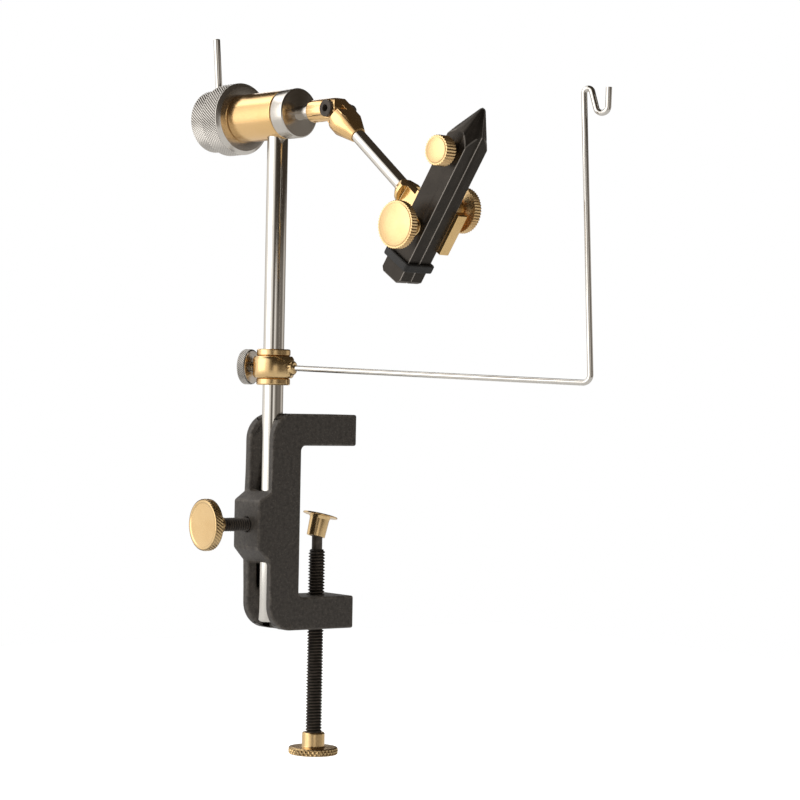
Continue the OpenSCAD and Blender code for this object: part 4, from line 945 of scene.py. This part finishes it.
# Crank knob: a knurled stainless disc screwed on the spindle's end, behind the drag ring.
# The crank pin is pressed into its rim and leans a little away from the vise.
crank_from, crank_w, crank_d = -45.7, 10.4, 29.1
rim = crank_d / 2
crank_knob = turn("crank_knob_turning", rounded(
    [(ring_bore_r, 0.0), (rim - 1.2, 0.0)] + rim_band(rim - ring_depth, 0.3, crank_w - 0.3, 0.1, 0.6)
    + [(rim - 1.2, crank_w), (ring_bore_r, crank_w), (ring_bore_r, 0.0)], 0.12), 128)
knurl(crank_knob, crank_d, 0.4, crank_w - 0.4, knurl_gap, ring_depth, knurled_steel)
fit_turned(crank_knob, on_spindle(crank_from), knurled_steel, "spindle", "crank_knob")
pin_low, pin_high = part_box("crank_pin")
finish_cad(cad_copy("crank_pin", "crank_pin_bar"), 0.3, polished, "spindle", "steel", "crank_pin",
           along((pin_low + pin_high) / 2, world_up))

# Knuckle: a brass coupling set on the spindle's stub, half-lapped with the arm's brass knuckle.
# A black socket-head screw and a nut behind hold the lap, and a small grub screw holds the coupling.
finish_cad(cad_copy("spindle_coupling", "coupling_turning"), 0.22, satin_brass, "spindle", "brass",
           "spindle_coupling", head_place)
# The knuckle screw's head is widened past its true size, so its black rim stands partly for the head and partly as
# painted shade round it
head_from, head_core, head_out, head_wide_with_shade = 4.0, 2.6, 1.25, 1.14
nut_from, nut_out, nut_dome, small_edge = -9.0, 1.9, 0.9, 0.22
for node in ("coupling_grub_screw", "knuckle_screw", "knuckle_nut"):
    piece = cad_copy(node, node + "_bar")
    for point in piece.data.vertices:
        out = (point.co - pivot).dot(across)
        if node == "knuckle_screw" and out > head_from * MM:
            middle = pivot + across * out
            if (point.co - middle).length > head_core * MM:
                point.co = middle + (point.co - middle) * head_wide_with_shade
            point.co += across * head_out * MM
        elif node == "knuckle_nut" and out < nut_from * MM:
            point.co -= across * nut_out * MM
    finish_cad(piece, nut_dome if node == "knuckle_nut" else small_edge, black_oxide, "spindle", "black_steel", node)

arm_turn = math.radians(39.8)
arm_way = (spindle_way * math.cos(arm_turn) - world_up * math.sin(arm_turn)).normalized()
arm_place = along(pivot, arm_way, across)
arm_up = across.cross(arm_way)
taper_from, taper_to, knuckle_wide, knuckle_tip = 10.6, 20.0, 14.2, 7.3
knuckle_flat, knuckle_top = 4.5, 5.1


def mill(piece, place, wide, tall, deep):
    """Cuts a box out of a piece. It stands on the place's floor, and its sides are in millimetres."""
    work = bmesh.new()
    bmesh.ops.create_cube(work, size=1.0, matrix=place @ Matrix.Diagonal((wide * MM, tall * MM, deep * MM, 1.0))
                          @ Matrix.Translation((0.0, 0.0, 0.5)))
    mesh = bpy.data.meshes.new("milling_cutter")
    work.to_mesh(mesh)
    work.free()
    cutter = new_object("milling_cutter", mesh)
    cut = piece.modifiers.new("milled", "BOOLEAN")
    cut.object = cutter
    cut.solver = "EXACT"
    evaluated_mesh(piece)
    bpy.data.objects.remove(cutter)
    bpy.data.meshes.remove(mesh)
    whole_faces(piece.data)


def taper(piece, place, low, high, wide, tip):
    """Turns a piece down to a cone between two places along an axis, in millimetres."""
    work = bmesh.new()
    work.from_mesh(piece.data)
    bmesh.ops.transform(work, matrix=place.inverted(), verts=work.verts)
    bmesh.ops.bisect_plane(work, geom=work.verts[:] + work.edges[:] + work.faces[:],
                           plane_co=(0.0, 0.0, low * MM), plane_no=(0.0, 0.0, 1.0))
    for point in work.verts:
        share = (point.co.z / MM - low) / (high - low)
        reach = math.hypot(point.co.x, point.co.y)
        most = (wide + (tip - wide) * share) / 2 * MM
        if share > 0.0 and reach > most:
            point.co.x *= most / reach
            point.co.y *= most / reach
    bmesh.ops.transform(work, matrix=place, verts=work.verts)
    work.to_mesh(piece.data)
    work.free()


knuckle = cad_copy("arm_knuckle", "arm_knuckle_turning")
taper(knuckle, arm_place, taper_from, taper_to, knuckle_wide, knuckle_tip)
for up, height in ((arm_up, knuckle_flat), (world_up, knuckle_top)):
    mill(knuckle, along(pivot + up * height * MM, up, across), wide=30.0, tall=60.0, deep=10.0)
finish_cad(knuckle, 0.25, satin_brass, "arm", "brass", "arm_knuckle", arm_place)

# Arm rod: a polished steel bar pressed into the knuckle.
# Its other end is turned thinner and let into the jaw mount.
finish_cad(cad_copy("arm_rod", "arm_rod_bar"), 0.2, polished, "arm", "steel", "arm_rod", arm_place)

# Jaw mount: an elbow turned from brass bar, milled down to a flat tongue that the jaws tilt on.
# A small flat is filed on the elbow's upper side, beside the arm rod.
mount_brass = turned_metal("milled_brass", (0.84, 0.58, 0.27, 1.0), (0.74, 0.48, 0.19, 1.0), 0.16, 0.30, fine=5.0)
elbow_from, elbow_flat, flat_long = 57.1, 3.3, 10.5
jaw_mount = cad_copy("jaw_mount", "jaw_mount_elbow")
flat_at = pivot + arm_way * (elbow_from + flat_long / 2 - 1.0) * MM + arm_up * elbow_flat * MM
mill(jaw_mount, along(flat_at, arm_up, across), wide=20.0, tall=flat_long + 2.0, deep=12.0)
finish_cad(jaw_mount, 0.3, mount_brass, "arm", "brass", "jaw_mount", arm_place)

# Jaws: two black steel bars, one on the other, whose ends are turned to a shared point for the hook.
# Their long edges are worn bright by handling, and a rubber ring at the tail keeps them together.
jaw_tail, jaw_half, tail_file, tail_blunt = 35.2, 6.35, 1.15, 3.0
jaw_edge, jaw_blunt = 0.38, 0.6
rubbed_from, rubbed_to, spared_wear = -26.0, 30.0, 0.25
jaw_dark, jaw_light = (0.0075, 0.0062, 0.005, 1.0), (0.023, 0.019, 0.0155, 1.0)
jaw_bare = (0.42, 0.38, 0.34, 1.0)
hard_black, tree, shader = finish_of("jaw_black", (0.02, 0.018, 0.016, 1.0), 0.36, 0.2)
shader.inputs["Specular Tint"].default_value = (1.0, 0.86, 0.72, 1.0)
shader.inputs["Specular IOR Level"].default_value = 0.42
space = object_space(tree)
rub = group_in(tree, worn, Vector=space, Amount=0.62, Patch=420.0)
cloud = group_in(tree, handled, Vector=space, Patch=160.0, Amount=1.0)
vary_color(tree, shader, rub["Mask"], mix_color(tree, cloud["Mask"], jaw_dark, jaw_light), jaw_bare)
grain = noise(tree, space, scale=1800.0, detail=3.0)
vary_gloss(tree, shader, grain, 0.30, 0.46)
bump_on(tree, shader, grain, 0.02 * MM)
tilt_at, tilt_way = joint("jaw_tilt")
jaw_way = joint("gap_knob_turn")[0] - joint("jaw_knob_turn")[0]
jaw_way = (jaw_way - tilt_way * jaw_way.dot(tilt_way)).normalized()
jaw_side = tilt_way.cross(jaw_way)


def up_jaw(point):
    """How far up the jaws a point lies from the tilt bolt, in metres."""
    return (point - tilt_at).dot(jaw_way)


for node in ("rear_jaw", "front_jaw"):
    piece = cad_copy(node, node + "_bar")
    for side in (-1.0, 1.0):
        corner = tilt_at - jaw_way * jaw_tail * MM + jaw_side * side * jaw_half * MM
        out = (jaw_side * side - jaw_way).normalized()
        mill(piece, along(corner - out * tail_file * MM, out, tilt_way), wide=60.0, tall=20.0, deep=10.0)
    soften(piece, jaw_blunt, hard_black, plain=jaw_edge, blunt=lambda edge: all(
        up_jaw(point.co) < (tail_blunt - jaw_tail) * MM for point in edge.verts))
    for face, worn_there in zip(piece.data.polygons, piece.data.attributes["edge"].data):
        if not rubbed_from * MM < up_jaw(face.center) < rubbed_to * MM:
            worn_there.value *= spared_wear
    set_piece(piece, node, node)

rubber = clouded("black_rubber", (0.012, 0.011, 0.010, 1.0), (0.028, 0.026, 0.023, 1.0), 0.62, 260.0, 0.8)
tree = rubber.node_tree
skin = noise(tree, object_space(tree), scale=2500.0, detail=3.0)
bump_on(tree, tree.nodes["Principled BSDF"], skin, 0.03 * MM)
ring_wider, ring_round = 0.35, 1.3
ring_piece = cad_copy("jaw_rubber_ring", "jaw_rubber_ring_moulding")
ring_low, ring_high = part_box("jaw_rubber_ring")
ring_at = (ring_low + ring_high) / 2
for point in ring_piece.data.vertices:
    point.co += jaw_way * (point.co - ring_at).dot(jaw_way) * ring_wider
finish_cad(ring_piece, ring_round, rubber, "rear_jaw", "rubber", "jaw_rubber_ring", steps=5)

# Jaw knobs: one behind the jaws on the bolt that they tilt on, one on the gap screw and one on the jaw screw.
# All three are brass, with a straight-cut serrated rim, a domed satin face and a coned hub.
knob_brass = turned_metal("knob_brass", (0.81, 0.57, 0.29, 1.0), (0.74, 0.49, 0.22, 1.0), 0.30, 0.46, fine=9.0)
for node in ("tilt_knob", "gap_knob", "jaw_knob"):
    finish_cad(cad_copy(node, node + "_turning"), 0.09, knob_brass, node, "brass", node,
               along(*joint(node + "_turn")), steps=2, limit=30.0)
dress(steel, "tilt_bolt", "tilt_washer", "gap_screw", "jaw_screw")
dress(brass, "jaw_screw_insert")
